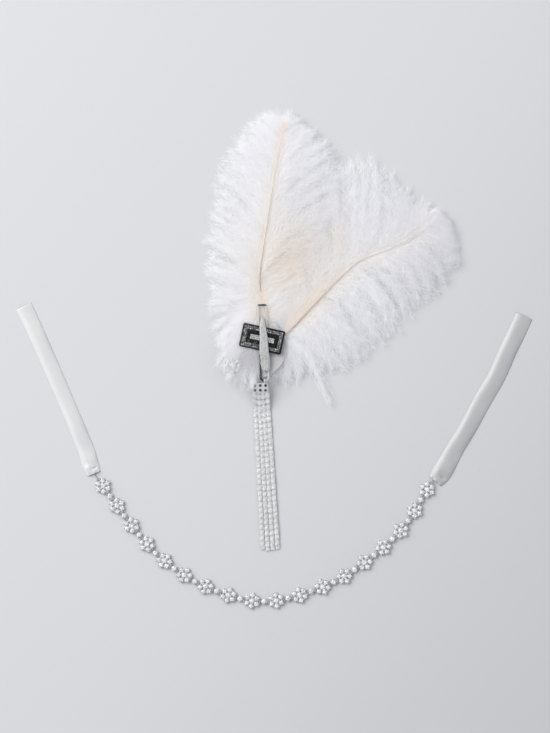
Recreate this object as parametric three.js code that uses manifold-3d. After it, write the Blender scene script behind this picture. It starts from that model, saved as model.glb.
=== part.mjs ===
// A flapper headband laid flat: a rhinestone flower chain with satin ties at its ends,
// and the ostrich feather clip, with buckle and crystal tassel, that fastens on it.
// Millimetres, +Z up, lying on z = 0. The origin is the middle of the hair clip's flat
// underside. The feather clip lies apart from the band, above the middle of its curve.

import * as THREE from "three";
import { mergeVertices } from "three/addons/utils/BufferGeometryUtils.js";
import Module from "manifold-3d";

const wasm = await Module();
wasm.setup();

// Gap between pieces that touch
const CLEARANCE = 0.3;

// Hair clip, hidden behind the disc
const CLIP_LENGTH = 40;
const CLIP_WIDTH = 9;
const CLIP_THICKNESS = 3.5;
const CORNER_STEPS = 3;

// Felt disc that backs the buckle and covers the quills
const DISC_RADIUS = 23;
const DISC_THICKNESS = 1.5;
const DISC_SIDES = 28;

// Plumes: length along the shaft, reach of the barbs to a side, and the locks they form
const QUILL_RADIUS = 1.2;
const SHAFT_TAPER = 0.7;
const SHAFT_STEPS = 11;
const SHAFT_SIDES = 6;
const UPRIGHT_LENGTH = 180;
const UPRIGHT_REACH = 60;
const UPRIGHT_TURN = 0;
const LEANING_LENGTH = 155;
const LEANING_REACH = 60;
const LEANING_TURN = -50;
const UPRIGHT_X = 4.6;
const LEANING_X = 12;
const LEANING_Y = 2;
const LOCK_WIDTH = 26;
const LOCK_WIDTH_SHARE = 0.5;
const LOCK_SWEEP_SHARE = 0.32;
const LOCK_BEND_SHARE = 0.42;
const LOCK_THICKNESS = 3.6;
const FLOOR_LOCK_HEIGHT = 1.2;

// Buckle: a black plate with a raised rim, a crystal border and a crystal bar
const BUCKLE_LENGTH = 31.8;
const BUCKLE_WIDTH = 17.8;
const BUCKLE_THICKNESS = 3;
const BUCKLE_CORNER = 1.2;
const BUCKLE_TURN = -12;
const BUCKLE_X = 4.7;
const BUCKLE_Y = 6.8;
const RIM_WIDTH = 0.9;
const BORDER_WIDTH = 3.3;
const BAR_LENGTH = 19;
const BAR_WIDTH = 4.4;
const INLAY_DEPTH = 1.4;
const INLAY_RISE = 0.3;

// Long wire loop that carries the tassel behind the buckle
const LOOP_LENGTH = 58;
const LOOP_WIDTH = 7.4;
const LOOP_WIRE_RADIUS = 0.75;
const LOOP_CORNER = 1.7;
const LOOP_WIRE_SIDES = 6;
const LOOP_BEND_STEPS = 6;
const LOOP_TURN = 2;
const LOOP_X = 5.6;
const LOOP_Y = 3.6;

// Satin fold drawn over the buckle
const FOLD_LENGTH = 41;
const FOLD_WIDTH = 7;
const FOLD_THICKNESS = 1;
const FOLD_EDGE = 0.7;
const FOLD_TOP_Y = 24;

// Round crystal button at the disc's lower left edge
const BUTTON_RADIUS = 6.4;
const BUTTON_PLATE = 1.4;
const BUTTON_EDGE = 0.2;
const BUTTON_SIDES = 16;
const BUTTON_CENTRE_STONE_RADIUS = 2.4;
const BUTTON_STONE_RADIUS = 1.6;
const BUTTON_STONE_COUNT = 8;
const BUTTON_X = -17.3;
const BUTTON_Y = -13.5;

// Tassel: a pierced head plate on a bail, and cup-chain strands
const TASSEL_STRAND_COUNT = 4;
const STRAND_WIDTH = 2.9;
const STRAND_THICKNESS = 2.2;
const TASSEL_LENGTH = 122;
const STRAND_SPACING_TOP = 3.1;
const STRAND_SPACING_END = 3.7;
const STRAND_DRIFT = 7.2;
const STRAND_STEPS = 11;
const HEAD_WIDTH = 12;
const HEAD_ASIDE = -3.3;
const HEAD_LENGTH = 7.4;
const HEAD_THICKNESS = 1.2;
const HEAD_COLUMNS = 3;
const HEAD_ROWS = 2;
const HEAD_HOLE_RADIUS = 1.15;
const HEAD_HOLE_SIDES = 10;
const BAIL_RADIUS = 1.55;
const BAIL_WIRE_RADIUS = 0.45;
const BAIL_WIRE_SIDES = 5;
const BAIL_STEPS = 10;

// Flower chain
const FLOWER_COUNT = 18;
const FLOWER_PITCH = 18.2;
const FLOWER_RADIUS = 6.1;
const FLOWER_VALLEY = 4.5;
const FLOWER_PLATE = 1.6;
const PETAL_COUNT = 6;
const PETAL_TIP_SHARE = 0.34;
const PETAL_CIRCLE = 4.15;
const PETAL_STONE_RADIUS = 1.7;
const FLOWER_CENTRE_STONE_RADIUS = 1.95;
const STONE_CROWN = 1;
const STONE_SEAT = 0.4;
const TABLE_SHARE = 0.55;
const STONE_SIDES = 8;
const TAB_REACH = 6.8;
const TAB_WIDTH = 2.6;
const TAB_THICKNESS = 0.6;
const SLOT_CENTRE = 5.8;
const POST_THICKNESS = 0.6;
const POST_WIDTH = 0.9;
const STRIP_THICKNESS = 0.6;
const CROSSBAR_LENGTH = 3;
const CROSSBAR_THICKNESS = 0.5;
const LINK_STONE_RADIUS = 1.95;
const LINK_CUP_HEIGHT = 1.6;
const TONGUE_LENGTH = 7;

// Route of the chain as it lies, from the left tie to the right one, through chosen points.
// It is drawn to the length that the flowers take.
const CHAIN_ROUTE = [
  [-114.6, -103.6],
  [-93.8, -132.3],
  [-71.6, -157],
  [-38.7, -178.4],
  [5.7, -190],
  [53.5, -177.6],
  [82.7, -159.6],
  [109.4, -135.6],
  [128.1, -106.3],
];

// Satin ties
const RIBBON_WIDTH = 12.6;
const RIBBON_THICKNESS = 1;
const RIBBON_LENGTH = 140;
const RIBBON_EDGE = 0.75;
const HEM_THICKNESS = 2.6;
const HEM_GAP = 0.9;

// Heights of the stack on the hair clip
const QUILL_HEIGHT = CLIP_THICKNESS + CLEARANCE + QUILL_RADIUS;
const DISC_BOTTOM = QUILL_HEIGHT + QUILL_RADIUS + CLEARANCE;
const DISC_TOP = DISC_BOTTOM + DISC_THICKNESS;
const BUCKLE_BOTTOM = DISC_TOP + CLEARANCE;
const BUCKLE_TOP = BUCKLE_BOTTOM + BUCKLE_THICKNESS;
const LOOP_HEIGHT = DISC_TOP + CLEARANCE + LOOP_WIRE_RADIUS;

const MATERIALS = {
  plume: { color: 0xf4f2f0, roughness: 0.9, metalness: 0 },
  felt: { color: 0xeeedef, roughness: 0.95, metalness: 0 },
  steel: { color: 0xb9babd, roughness: 0.35, metalness: 1 },
  enamel: { color: 0x0b0b0c, roughness: 0.25, metalness: 0.2 },
  crystal: { color: 0xd8dade, roughness: 0.05, metalness: 0.1 },
  silver: { color: 0xc9cacc, roughness: 0.2, metalness: 1 },
  satin: { color: 0xe9e9ec, roughness: 0.4, metalness: 0 },
};

const group = new THREE.Group();

// Adds one named sub-part.
function addPart(name, geometry, finish, parent = group) {
  const mesh = new THREE.Mesh(geometry, new THREE.MeshStandardMaterial(MATERIALS[finish]));
  mesh.name = name;
  parent.add(mesh);
  return mesh;
}

// A closed geometry as a solid, its faces turned outwards.
function solidOf(geometry) {
  const bare = geometry.clone();
  bare.deleteAttribute("normal");
  bare.deleteAttribute("uv");
  const merged = mergeVertices(bare, 1e-4);
  const vertProperties = new Float32Array(merged.attributes.position.array);
  const triVerts = new Uint32Array(merged.index.array);
  const solid = new wasm.Manifold(new wasm.Mesh({ numProp: 3, vertProperties, triVerts }));
  if (solid.volume() > 0) return solid;
  for (let i = 0; i < triVerts.length; i += 3) {
    [triVerts[i + 1], triVerts[i + 2]] = [triVerts[i + 2], triVerts[i + 1]];
  }
  return new wasm.Manifold(new wasm.Mesh({ numProp: 3, vertProperties, triVerts }));
}

// A solid as a geometry.
function geometryOf(solid) {
  const mesh = solid.getMesh();
  const geometry = new THREE.BufferGeometry();
  geometry.setAttribute("position", new THREE.BufferAttribute(mesh.vertProperties, 3));
  geometry.setIndex(new THREE.BufferAttribute(mesh.triVerts, 1));
  geometry.computeVertexNormals();
  return geometry;
}

// Geometries joined into one, less the ones to cut away. A pocket that the pieces enclose
// is filled.
function fused(pieces, cuts = []) {
  let solid = solidOf(pieces[0]);
  for (const piece of pieces.slice(1)) solid = solid.add(solidOf(piece));
  for (const cut of cuts) solid = solid.subtract(solidOf(cut));
  const shells = solid.decompose().filter((shell) => shell.volume() > 0);
  return geometryOf(shells.reduce((all, shell) => all.add(shell)));
}

// A box by its middle in x and y and its lowest z.
function block(sizeX, sizeY, sizeZ, x = 0, y = 0, z = 0) {
  return new THREE.BoxGeometry(sizeX, sizeY, sizeZ).translate(x, y, z + sizeZ / 2);
}

// A surface through equal rings of points, capped at both ends or closed on itself.
function loft(rings, closed = false) {
  const count = rings[0].length;
  const positions = rings.flat().flatMap((p) => [p.x, p.y, p.z]);
  const indices = [];
  const spans = closed ? rings.length : rings.length - 1;
  for (let i = 0; i < spans; i++) {
    const here = i * count;
    const next = ((i + 1) % rings.length) * count;
    for (let j = 0; j < count; j++) {
      const k = (j + 1) % count;
      indices.push(here + j, here + k, next + k, here + j, next + k, next + j);
    }
  }
  if (!closed) {
    const last = (rings.length - 1) * count;
    for (let j = 1; j < count - 1; j++) {
      indices.push(0, j + 1, j, last, last + j, last + j + 1);
    }
  }
  const geometry = new THREE.BufferGeometry();
  geometry.setAttribute("position", new THREE.Float32BufferAttribute(positions, 3));
  geometry.setIndex(indices);
  return geometry;
}

// A profile of radius and height pairs turned about the z axis.
function turned(profile, sides) {
  const points = profile.map(([radius, height]) => new THREE.Vector2(radius, height));
  return new THREE.LatheGeometry(points, sides).rotateX(Math.PI / 2);
}

// A round cut stone: a wall sunk in its setting, eight crown facets and a flat table.
function cutStone(radius, wall, x = 0, y = 0, z = 0) {
  const profile = [
    [0, 0],
    [radius, 0],
    [radius, wall],
    [radius * TABLE_SHARE, wall + STONE_CROWN],
    [0, wall + STONE_CROWN],
  ];
  return turned(profile, STONE_SIDES).rotateZ(Math.PI / STONE_SIDES).translate(x, y, z);
}

// A rectangle with rounded corners, extruded up from z = 0.
function roundedPlate(length, width, corner, height) {
  const x = length / 2 - corner;
  const y = width / 2 - corner;
  const shape = new THREE.Shape();
  shape.absarc(x, y, corner, 0, Math.PI / 2);
  shape.absarc(-x, y, corner, Math.PI / 2, Math.PI);
  shape.absarc(-x, -y, corner, Math.PI, Math.PI * 1.5);
  shape.absarc(x, -y, corner, Math.PI * 1.5, Math.PI * 2);
  return new THREE.ExtrudeGeometry(shape, {
    depth: height,
    bevelEnabled: false,
    curveSegments: CORNER_STEPS,
  });
}

// Hair clip: one plain piece with round ends.
addPart(
  "hair_clip",
  roundedPlate(CLIP_WIDTH, CLIP_LENGTH, CLIP_WIDTH / 2 - CLEARANCE, CLIP_THICKNESS),
  "steel",
);

// Backing disc
addPart(
  "backing_disc",
  turned(
    [
      [0, DISC_BOTTOM],
      [DISC_RADIUS, DISC_BOTTOM],
      [DISC_RADIUS, DISC_TOP],
      [0, DISC_TOP],
    ],
    DISC_SIDES,
  ),
  "felt",
);

// Plumes. A plume's own frame has u along it and v to its right, as shares of its length
// and reach. The shaft's height is in shares of the quill's height on the clip.
const UPRIGHT_SHAFT = [
  { u: -0.06, v: 0, height: 1 },
  { u: 0.1, v: 0.01, height: 1 },
  { u: 0.2, v: 0, height: 1.25 },
  { u: 0.29, v: -0.03, height: 1.75 },
  { u: 0.4, v: 0.01, height: 1.95 },
  { u: 0.66, v: 0.13, height: 1.8 },
  { u: 0.83, v: 0.22, height: 1.2 },
  { u: 0.975, v: 0.32, height: 0.6 },
];
const LEANING_SHAFT = [
  { u: -0.03, v: -0.01, height: 1 },
  { u: 0.12, v: 0, height: 1 },
  { u: 0.42, v: -0.07, height: 0.8 },
  { u: 0.6, v: -0.09, height: 0.75 },
  { u: 0.75, v: 0, height: 0.7 },
  { u: 0.87, v: 0.06, height: 0.6 },
  { u: 0.985, v: 0.03, height: 0.5 },
];

// Locks: where each one leaves the shaft, where its tip lies, and how high the tip lies in
// shares of the height of a lock on the floor.
const UPRIGHT_LOCKS = [
  { root: 0.09, u: -0.02, v: -0.48, tip: 0.6 },
  { root: 0.12, u: 0.15, v: -0.63, tip: 0.6 },
  { root: 0.19, u: 0.32, v: -0.72, tip: 0.6 },
  { root: 0.28, u: 0.465, v: -0.73, tip: 0.6 },
  { root: 0.37, u: 0.57, v: -0.66, tip: 0.6 },
  { root: 0.47, u: 0.68, v: -0.56, tip: 0.6 },
  { root: 0.57, u: 0.785, v: -0.46, tip: 0.6 },
  { root: 0.67, u: 0.88, v: -0.33, tip: 0.6 },
  { root: 0.77, u: 0.945, v: -0.16, tip: 0.6 },
  { root: 0.87, u: 0.985, v: 0.055, tip: 0.6 },
  { root: 0.94, u: 0.995, v: 0.34, tip: 0.6 },
  { root: 0.86, u: 0.98, v: 0.47, tip: 3.8 },
  { root: 0.76, u: 0.94, v: 0.62, tip: 5.4 },
  { root: 0.66, u: 0.885, v: 0.77, tip: 6.7 },
  { root: 0.55, u: 0.805, v: 0.89, tip: 7.3 },
  { root: 0.45, u: 0.71, v: 0.94, tip: 7.6 },
  { root: 0.36, u: 0.61, v: 0.91, tip: 7.6 },
  { root: 0.28, u: 0.46, v: 0.7, tip: 7.6 },
  { root: 0.18, u: 0.37, v: 0.46, tip: 7.4 },
];
const LEANING_LOCKS = [
  { root: 0.12, u: 0.42, v: -0.86, tip: 1.6 },
  { root: 0.2, u: 0.52, v: -0.82, tip: 1.6 },
  { root: 0.29, u: 0.74, v: -1.13, tip: 1.6 },
  { root: 0.38, u: 0.88, v: -1.27, tip: 1.6 },
  { root: 0.53, u: 0.985, v: -0.95, tip: 1.4 },
  { root: 0.7, u: 1.02, v: -0.46, tip: 1 },
  { root: 0.8, u: 1.04, v: -0.1, tip: 1 },
  { root: 0.9, u: 1.04, v: 0.18, tip: 1 },
  { root: 0.84, u: 1.03, v: 0.56, tip: 1 },
  { root: 0.74, u: 0.93, v: 0.79, tip: 1 },
  { root: 0.64, u: 0.78, v: 0.83, tip: 1 },
  { root: 0.54, u: 0.64, v: 0.87, tip: 1 },
  { root: 0.44, u: 0.51, v: 0.94, tip: 1 },
  { root: 0.32, u: 0.33, v: 0.92, tip: 1 },
  { root: 0.22, u: 0.155, v: 0.81, tip: 1 },
  { root: 0.18, u: 0.055, v: 1.15, tip: 1 },
  { root: 0.15, u: 0.05, v: 0.68, tip: 1 },
  { root: 0.12, u: -0.04, v: 0.5, tip: 1 },
];

// Sections of a lock along its length, in shares of the lock's width and thickness.
const LOCK_SECTIONS = [
  { at: 0, width: 0.3, thickness: 0.6 },
  { at: 0.4, width: 0.95, thickness: 1 },
  { at: 0.8, width: 0.85, thickness: 0.9 },
  { at: 1, width: 0.08, thickness: 0.3 },
];

// A flat tapering strip of diamond section from the shaft to its tip, arching outwards.
function lockGeometry(root, tip, along) {
  const reach = root.distanceTo(tip);
  const leave = root.clone().addScaledVector(along, reach * LOCK_SWEEP_SHARE);
  const arrive = tip.clone().lerp(leave, LOCK_BEND_SHARE);
  leave.z = root.z;
  arrive.z = (root.z + tip.z) / 2;
  const path = new THREE.CubicBezierCurve3(root, leave, arrive, tip);
  const width = Math.min(LOCK_WIDTH, reach * LOCK_WIDTH_SHARE);
  const rings = LOCK_SECTIONS.map((section) => {
    const centre = path.getPoint(section.at);
    const heading = path.getTangent(section.at);
    const side = new THREE.Vector3(heading.y, -heading.x, 0).normalize();
    const up = new THREE.Vector3().crossVectors(side, heading);
    side.multiplyScalar((width * section.width) / 2);
    up.multiplyScalar((LOCK_THICKNESS * section.thickness) / 2);
    return [
      centre.clone().add(side),
      centre.clone().add(up),
      centre.clone().sub(side),
      centre.clone().sub(up),
    ];
  });
  return loft(rings);
}

// A plume: a tapered round shaft with locks fused along both sides.
function plumeGeometry(origin, turn, length, reach, shaftTable, lockTable, cuts) {
  const place = (u, v, z) =>
    new THREE.Vector3(v * reach, u * length, z)
      .applyAxisAngle(new THREE.Vector3(0, 0, 1), THREE.MathUtils.degToRad(turn))
      .add(origin);
  const shaft = new THREE.CatmullRomCurve3(
    shaftTable.map((row) => place(row.u, row.v, row.height * QUILL_HEIGHT)),
  );
  const shaftShare = (u) => {
    const first = shaftTable[0].u;
    const last = shaftTable[shaftTable.length - 1].u;
    return (u - first) / (last - first);
  };
  const rings = [];
  for (let i = 0; i <= SHAFT_STEPS; i++) {
    const share = i / SHAFT_STEPS;
    const centre = shaft.getPointAt(share);
    const heading = shaft.getTangentAt(share);
    const side = new THREE.Vector3(heading.y, -heading.x, 0).normalize();
    const up = new THREE.Vector3().crossVectors(side, heading);
    const radius = QUILL_RADIUS * (1 - SHAFT_TAPER * share);
    const ring = [];
    for (let j = 0; j < SHAFT_SIDES; j++) {
      const angle = (j / SHAFT_SIDES) * 2 * Math.PI;
      ring.push(
        centre
          .clone()
          .addScaledVector(side, radius * Math.cos(angle))
          .addScaledVector(up, radius * Math.sin(angle)),
      );
    }
    rings.push(ring);
  }
  const locks = lockTable.map((row) => {
    const share = shaftShare(row.root);
    const tip = place(row.u, row.v, row.tip * FLOOR_LOCK_HEIGHT);
    return lockGeometry(shaft.getPointAt(share), tip, shaft.getTangentAt(share));
  });
  return fused([loft(rings), ...locks], cuts);
}

// Where the plumes are pressed over the hair clip and under the disc.
const clipSpace = block(
  CLIP_WIDTH + 2 * CLEARANCE,
  CLIP_LENGTH + 2 * CLEARANCE,
  CLIP_THICKNESS + CLEARANCE,
);
const discSpace = turned(
  [
    [0, DISC_BOTTOM - CLEARANCE],
    [DISC_RADIUS + CLEARANCE, DISC_BOTTOM - CLEARANCE],
    [DISC_RADIUS + CLEARANCE, BUCKLE_TOP],
    [0, BUCKLE_TOP],
  ],
  DISC_SIDES,
);

addPart(
  "plume_upright",
  plumeGeometry(
    new THREE.Vector3(UPRIGHT_X, 0, 0),
    UPRIGHT_TURN,
    UPRIGHT_LENGTH,
    UPRIGHT_REACH,
    UPRIGHT_SHAFT,
    UPRIGHT_LOCKS,
    [clipSpace, discSpace],
  ),
  "plume",
);
addPart(
  "plume_leaning",
  plumeGeometry(
    new THREE.Vector3(LEANING_X, LEANING_Y, 0),
    LEANING_TURN,
    LEANING_LENGTH,
    LEANING_REACH,
    LEANING_SHAFT,
    LEANING_LOCKS,
    [clipSpace, discSpace],
  ),
  "plume",
);

// Buckle: the black plate with its rim, a border and a bar of crystals let into its face,
// and a groove across its back where the tassel's loop passes.
const buckle = new THREE.Group();
buckle.position.set(BUCKLE_X, BUCKLE_Y, BUCKLE_BOTTOM);
buckle.rotation.z = THREE.MathUtils.degToRad(BUCKLE_TURN);
group.add(buckle);

// A flat frame between two rounded rectangles.
function frameGeometry(length, width, band, corner, height) {
  const outer = roundedPlate(length, width, corner, height);
  const inner = block(length - 2 * band, width - 2 * band, height * 3, 0, 0, -height);
  return fused([outer], [inner]);
}

const borderLength = BUCKLE_LENGTH - 2 * RIM_WIDTH;
const borderHeight = BUCKLE_WIDTH - 2 * RIM_WIDTH;
const inlayBottom = BUCKLE_THICKNESS - INLAY_DEPTH;
const loopGroove = block(
  LOOP_WIDTH + 2 * CLEARANCE,
  LOOP_LENGTH,
  2 * (LOOP_WIRE_RADIUS + CLEARANCE),
  0,
  0,
  -2 * CLEARANCE,
);
const loopFromBuckle = new THREE.Vector3(LOOP_X - BUCKLE_X, LOOP_Y - BUCKLE_Y, 0);
loopFromBuckle.applyAxisAngle(new THREE.Vector3(0, 0, 1), THREE.MathUtils.degToRad(-BUCKLE_TURN));
loopGroove
  .rotateZ(THREE.MathUtils.degToRad(LOOP_TURN - BUCKLE_TURN))
  .translate(loopFromBuckle.x, loopFromBuckle.y, 0);
addPart(
  "buckle_plate",
  fused(
    [roundedPlate(BUCKLE_LENGTH, BUCKLE_WIDTH, BUCKLE_CORNER, BUCKLE_THICKNESS)],
    [
      frameGeometry(borderLength, borderHeight, BORDER_WIDTH, CLEARANCE, INLAY_DEPTH * 2).translate(
        0,
        0,
        inlayBottom,
      ),
      block(BAR_LENGTH, BAR_WIDTH, INLAY_DEPTH * 2, 0, 0, inlayBottom),
      loopGroove,
    ],
  ),
  "enamel",
  buckle,
);
addPart(
  "buckle_border",
  frameGeometry(
    borderLength - 2 * CLEARANCE,
    borderHeight - 2 * CLEARANCE,
    BORDER_WIDTH - 2 * CLEARANCE,
    CLEARANCE,
    INLAY_DEPTH - CLEARANCE + INLAY_RISE,
  ).translate(0, 0, inlayBottom + CLEARANCE),
  "crystal",
  buckle,
);
addPart(
  "buckle_bar",
  block(
    BAR_LENGTH - 2 * CLEARANCE,
    BAR_WIDTH - 2 * CLEARANCE,
    INLAY_DEPTH - CLEARANCE + INLAY_RISE,
    0,
    0,
    inlayBottom + CLEARANCE,
  ),
  "crystal",
  buckle,
);

// Tassel loop: a long wire ring lying on the disc, flat at its top and round at its end.
const loopPlace = new THREE.Group();
loopPlace.position.set(LOOP_X, LOOP_Y, LOOP_HEIGHT);
loopPlace.rotation.z = THREE.MathUtils.degToRad(LOOP_TURN);
group.add(loopPlace);

// A wire of round section along a closed flat loop with straight sides. Its top is a straight
// bar between two corners, and its lower end is half round.
function loopWire(length, width, wireRadius, topCorner) {
  const rings = [];
  for (const end of [1, -1]) {
    const corner = end > 0 ? topCorner : width / 2;
    for (let i = 0; i <= LOOP_BEND_STEPS; i++) {
      const angle = (i / LOOP_BEND_STEPS) * Math.PI + (end < 0 ? Math.PI : 0);
      const outward = new THREE.Vector3(Math.cos(angle), Math.sin(angle), 0);
      const middle = i === LOOP_BEND_STEPS / 2;
      const first = i <= LOOP_BEND_STEPS / 2 ? end : -end;
      for (const side of middle && end > 0 ? [end, -end] : [first]) {
        const x = side * (width / 2 - corner);
        const centre = new THREE.Vector3(x, end * (length / 2 - corner), 0);
        centre.addScaledVector(outward, corner - wireRadius);
        const ring = [];
        for (let j = 0; j < LOOP_WIRE_SIDES; j++) {
          const turn = (j / LOOP_WIRE_SIDES) * 2 * Math.PI;
          const point = centre.clone().addScaledVector(outward, wireRadius * Math.cos(turn));
          point.z += wireRadius * Math.sin(turn);
          ring.push(point);
        }
        rings.push(ring);
      }
    }
  }
  return loft(rings, true);
}
addPart(
  "tassel_loop",
  fused([loopWire(LOOP_LENGTH, LOOP_WIDTH, LOOP_WIRE_RADIUS, LOOP_CORNER)]),
  "silver",
  loopPlace,
);

// Satin fold: narrow at the top inside the loop, wide below, drawn over the buckle and down
// to the disc's lower edge. Places are shares of its length and width, and its rise above
// the loop is in shares of the way up to the buckle's face.
const FOLD_SECTIONS = [
  { along: 0, aside: -0.03, width: 0.1, rise: 0.2 },
  { along: 0.1, aside: 0.01, width: 0.4, rise: 0.55 },
  { along: 0.19, aside: 0.06, width: 0.65, rise: 1 },
  { along: 0.42, aside: 0.14, width: 0.85, rise: 1 },
  { along: 0.68, aside: 0.25, width: 1, rise: 1 },
  { along: 0.79, aside: 0.31, width: 1.02, rise: 0.5 },
  { along: 0.88, aside: 0.36, width: 1, rise: 0.12 },
  { along: 1, aside: 0.41, width: 0.8, rise: 0 },
];
const foldLow = LOOP_HEIGHT + LOOP_WIRE_RADIUS + CLEARANCE;
const foldHigh = BUCKLE_TOP + INLAY_RISE + CLEARANCE;
const foldRings = FOLD_SECTIONS.map((row) => {
  const x = BUCKLE_X + row.aside * FOLD_WIDTH;
  const y = FOLD_TOP_Y - row.along * FOLD_LENGTH;
  const z = foldLow + row.rise * (foldHigh - foldLow);
  const half = (row.width * FOLD_WIDTH) / 2;
  return [
    new THREE.Vector3(x - half, y, z),
    new THREE.Vector3(x + half, y, z),
    new THREE.Vector3(x + half, y, z + FOLD_THICKNESS * FOLD_EDGE),
    new THREE.Vector3(x, y, z + FOLD_THICKNESS),
    new THREE.Vector3(x - half, y, z + FOLD_THICKNESS * FOLD_EDGE),
  ];
});
addPart("satin_fold", fused([loft(foldRings)]), "satin");

// Crystal button: a round plate with a centre stone and a ring of stones soldered on it.
const buttonStones = [];
for (let i = 0; i < BUTTON_STONE_COUNT; i++) {
  const angle = (i / BUTTON_STONE_COUNT) * 2 * Math.PI;
  const circle = BUTTON_RADIUS - BUTTON_STONE_RADIUS - BUTTON_EDGE;
  buttonStones.push(
    cutStone(
      BUTTON_STONE_RADIUS,
      STONE_SEAT,
      circle * Math.cos(angle),
      circle * Math.sin(angle),
      BUTTON_PLATE - STONE_SEAT,
    ),
  );
}
addPart(
  "crystal_button",
  fused([
    turned(
      [
        [0, 0],
        [BUTTON_RADIUS, 0],
        [BUTTON_RADIUS, BUTTON_PLATE],
        [0, BUTTON_PLATE],
      ],
      BUTTON_SIDES,
    ),
    cutStone(BUTTON_CENTRE_STONE_RADIUS, STONE_SEAT, 0, 0, BUTTON_PLATE - STONE_SEAT),
    ...buttonStones,
  ]).translate(BUTTON_X, BUTTON_Y, DISC_TOP + CLEARANCE),
  "crystal",
);

// Tassel: a bail round the loop's lower end, a pierced head plate and the strands of cup
// chain, soldered into one. It drapes from the disc down to the surface that it lies on, and
// its head hangs a little to the left of the bail.
const loopEndX = LOOP_X + (LOOP_LENGTH / 2) * Math.sin(THREE.MathUtils.degToRad(LOOP_TURN));
const loopEndY = LOOP_Y - (LOOP_LENGTH / 2) * Math.cos(THREE.MathUtils.degToRad(LOOP_TURN));
const bailY = loopEndY + LOOP_WIRE_RADIUS;
const bail = new THREE.TorusGeometry(BAIL_RADIUS, BAIL_WIRE_RADIUS, BAIL_WIRE_SIDES, BAIL_STEPS)
  .rotateY(Math.PI / 2)
  .translate(loopEndX, bailY, LOOP_HEIGHT);

// The way down: shares of the tassel's length from the bail, and of the loop's height.
const TASSEL_DROP = [
  { along: 0, height: 0.98 },
  { along: 0.058, height: 0.66 },
  { along: 0.11, height: 0.34 },
  { along: 0.16, height: 0.13 },
  { along: 0.22, height: 0.12 },
  { along: 0.6, height: 0.12 },
  { along: 1, height: 0.12 },
];
const headX = loopEndX + HEAD_ASIDE;
const headTop = bailY - BAIL_RADIUS;
function tasselPath(place) {
  return new THREE.CatmullRomCurve3(
    TASSEL_DROP.map((row) => {
      const spacing = THREE.MathUtils.lerp(STRAND_SPACING_TOP, STRAND_SPACING_END, row.along);
      return new THREE.Vector3(
        headX + place * spacing + STRAND_DRIFT * row.along,
        headTop - row.along * TASSEL_LENGTH,
        row.height * LOOP_HEIGHT,
      );
    }),
  );
}

function headGeometry() {
  const slope = tasselPath(0).getTangentAt(0);
  const holes = [];
  for (let column = 0; column < HEAD_COLUMNS; column++) {
    for (let row = 0; row < HEAD_ROWS; row++) {
      const x = ((column + 0.5) / HEAD_COLUMNS - 0.5) * HEAD_WIDTH;
      const y = -((row + 0.5) / HEAD_ROWS) * HEAD_LENGTH;
      const hole = new THREE.CylinderGeometry(
        HEAD_HOLE_RADIUS,
        HEAD_HOLE_RADIUS,
        HEAD_THICKNESS * 3,
        HEAD_HOLE_SIDES,
      );
      holes.push(hole.rotateX(Math.PI / 2).translate(x, y, 0));
    }
  }
  const plate = block(HEAD_WIDTH, HEAD_LENGTH, HEAD_THICKNESS, 0, -HEAD_LENGTH / 2);
  plate.translate(0, 0, -HEAD_THICKNESS / 2);
  return fused([plate], holes)
    .rotateX(Math.atan2(-slope.z, -slope.y))
    .translate(headX, headTop, LOOP_HEIGHT);
}

// A strand is a strip of square section, closer stepped where it bends.
function strandGeometry(index) {
  const path = tasselPath(index - (TASSEL_STRAND_COUNT - 1) / 2);
  const first = (HEAD_LENGTH - HEAD_THICKNESS) / TASSEL_LENGTH;
  const rings = [];
  for (let i = 0; i <= STRAND_STEPS; i++) {
    const share = first + (1 - first) * (i / STRAND_STEPS) ** 2;
    const centre = path.getPointAt(share);
    const heading = path.getTangentAt(share);
    const side = new THREE.Vector3(heading.y, -heading.x, 0).normalize();
    const up = new THREE.Vector3().crossVectors(side, heading);
    side.multiplyScalar(STRAND_WIDTH / 2);
    up.multiplyScalar(STRAND_THICKNESS / 2);
    centre.z = Math.max(centre.z, Math.abs(up.z));
    rings.push([
      centre.clone().add(side).add(up),
      centre.clone().sub(side).add(up),
      centre.clone().sub(side).sub(up),
      centre.clone().add(side).sub(up),
    ]);
  }
  return loft(rings);
}
const strands = [];
for (let i = 0; i < TASSEL_STRAND_COUNT; i++) strands.push(strandGeometry(i));
addPart("crystal_tassel", fused([headGeometry(), bail, ...strands]), "silver");

// Flower: a stamped six-petal plate with a cut stone on each petal and one in the middle,
// and a slotted tab towards each neighbour.
function flowerPlate() {
  const shape = new THREE.Shape();
  const petal = (2 * Math.PI) / PETAL_COUNT;
  const points = [];
  for (let i = 0; i < PETAL_COUNT; i++) {
    const middle = petal * (i + 0.5);
    for (const [turn, radius] of [
      [-PETAL_TIP_SHARE / 2, FLOWER_RADIUS],
      [PETAL_TIP_SHARE / 2, FLOWER_RADIUS],
      [0.5, FLOWER_VALLEY],
    ]) {
      const angle = middle + petal * turn;
      points.push(new THREE.Vector2(radius * Math.cos(angle), radius * Math.sin(angle)));
    }
  }
  shape.setFromPoints(points);
  return new THREE.ExtrudeGeometry(shape, { depth: FLOWER_PLATE, bevelEnabled: false });
}

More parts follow.
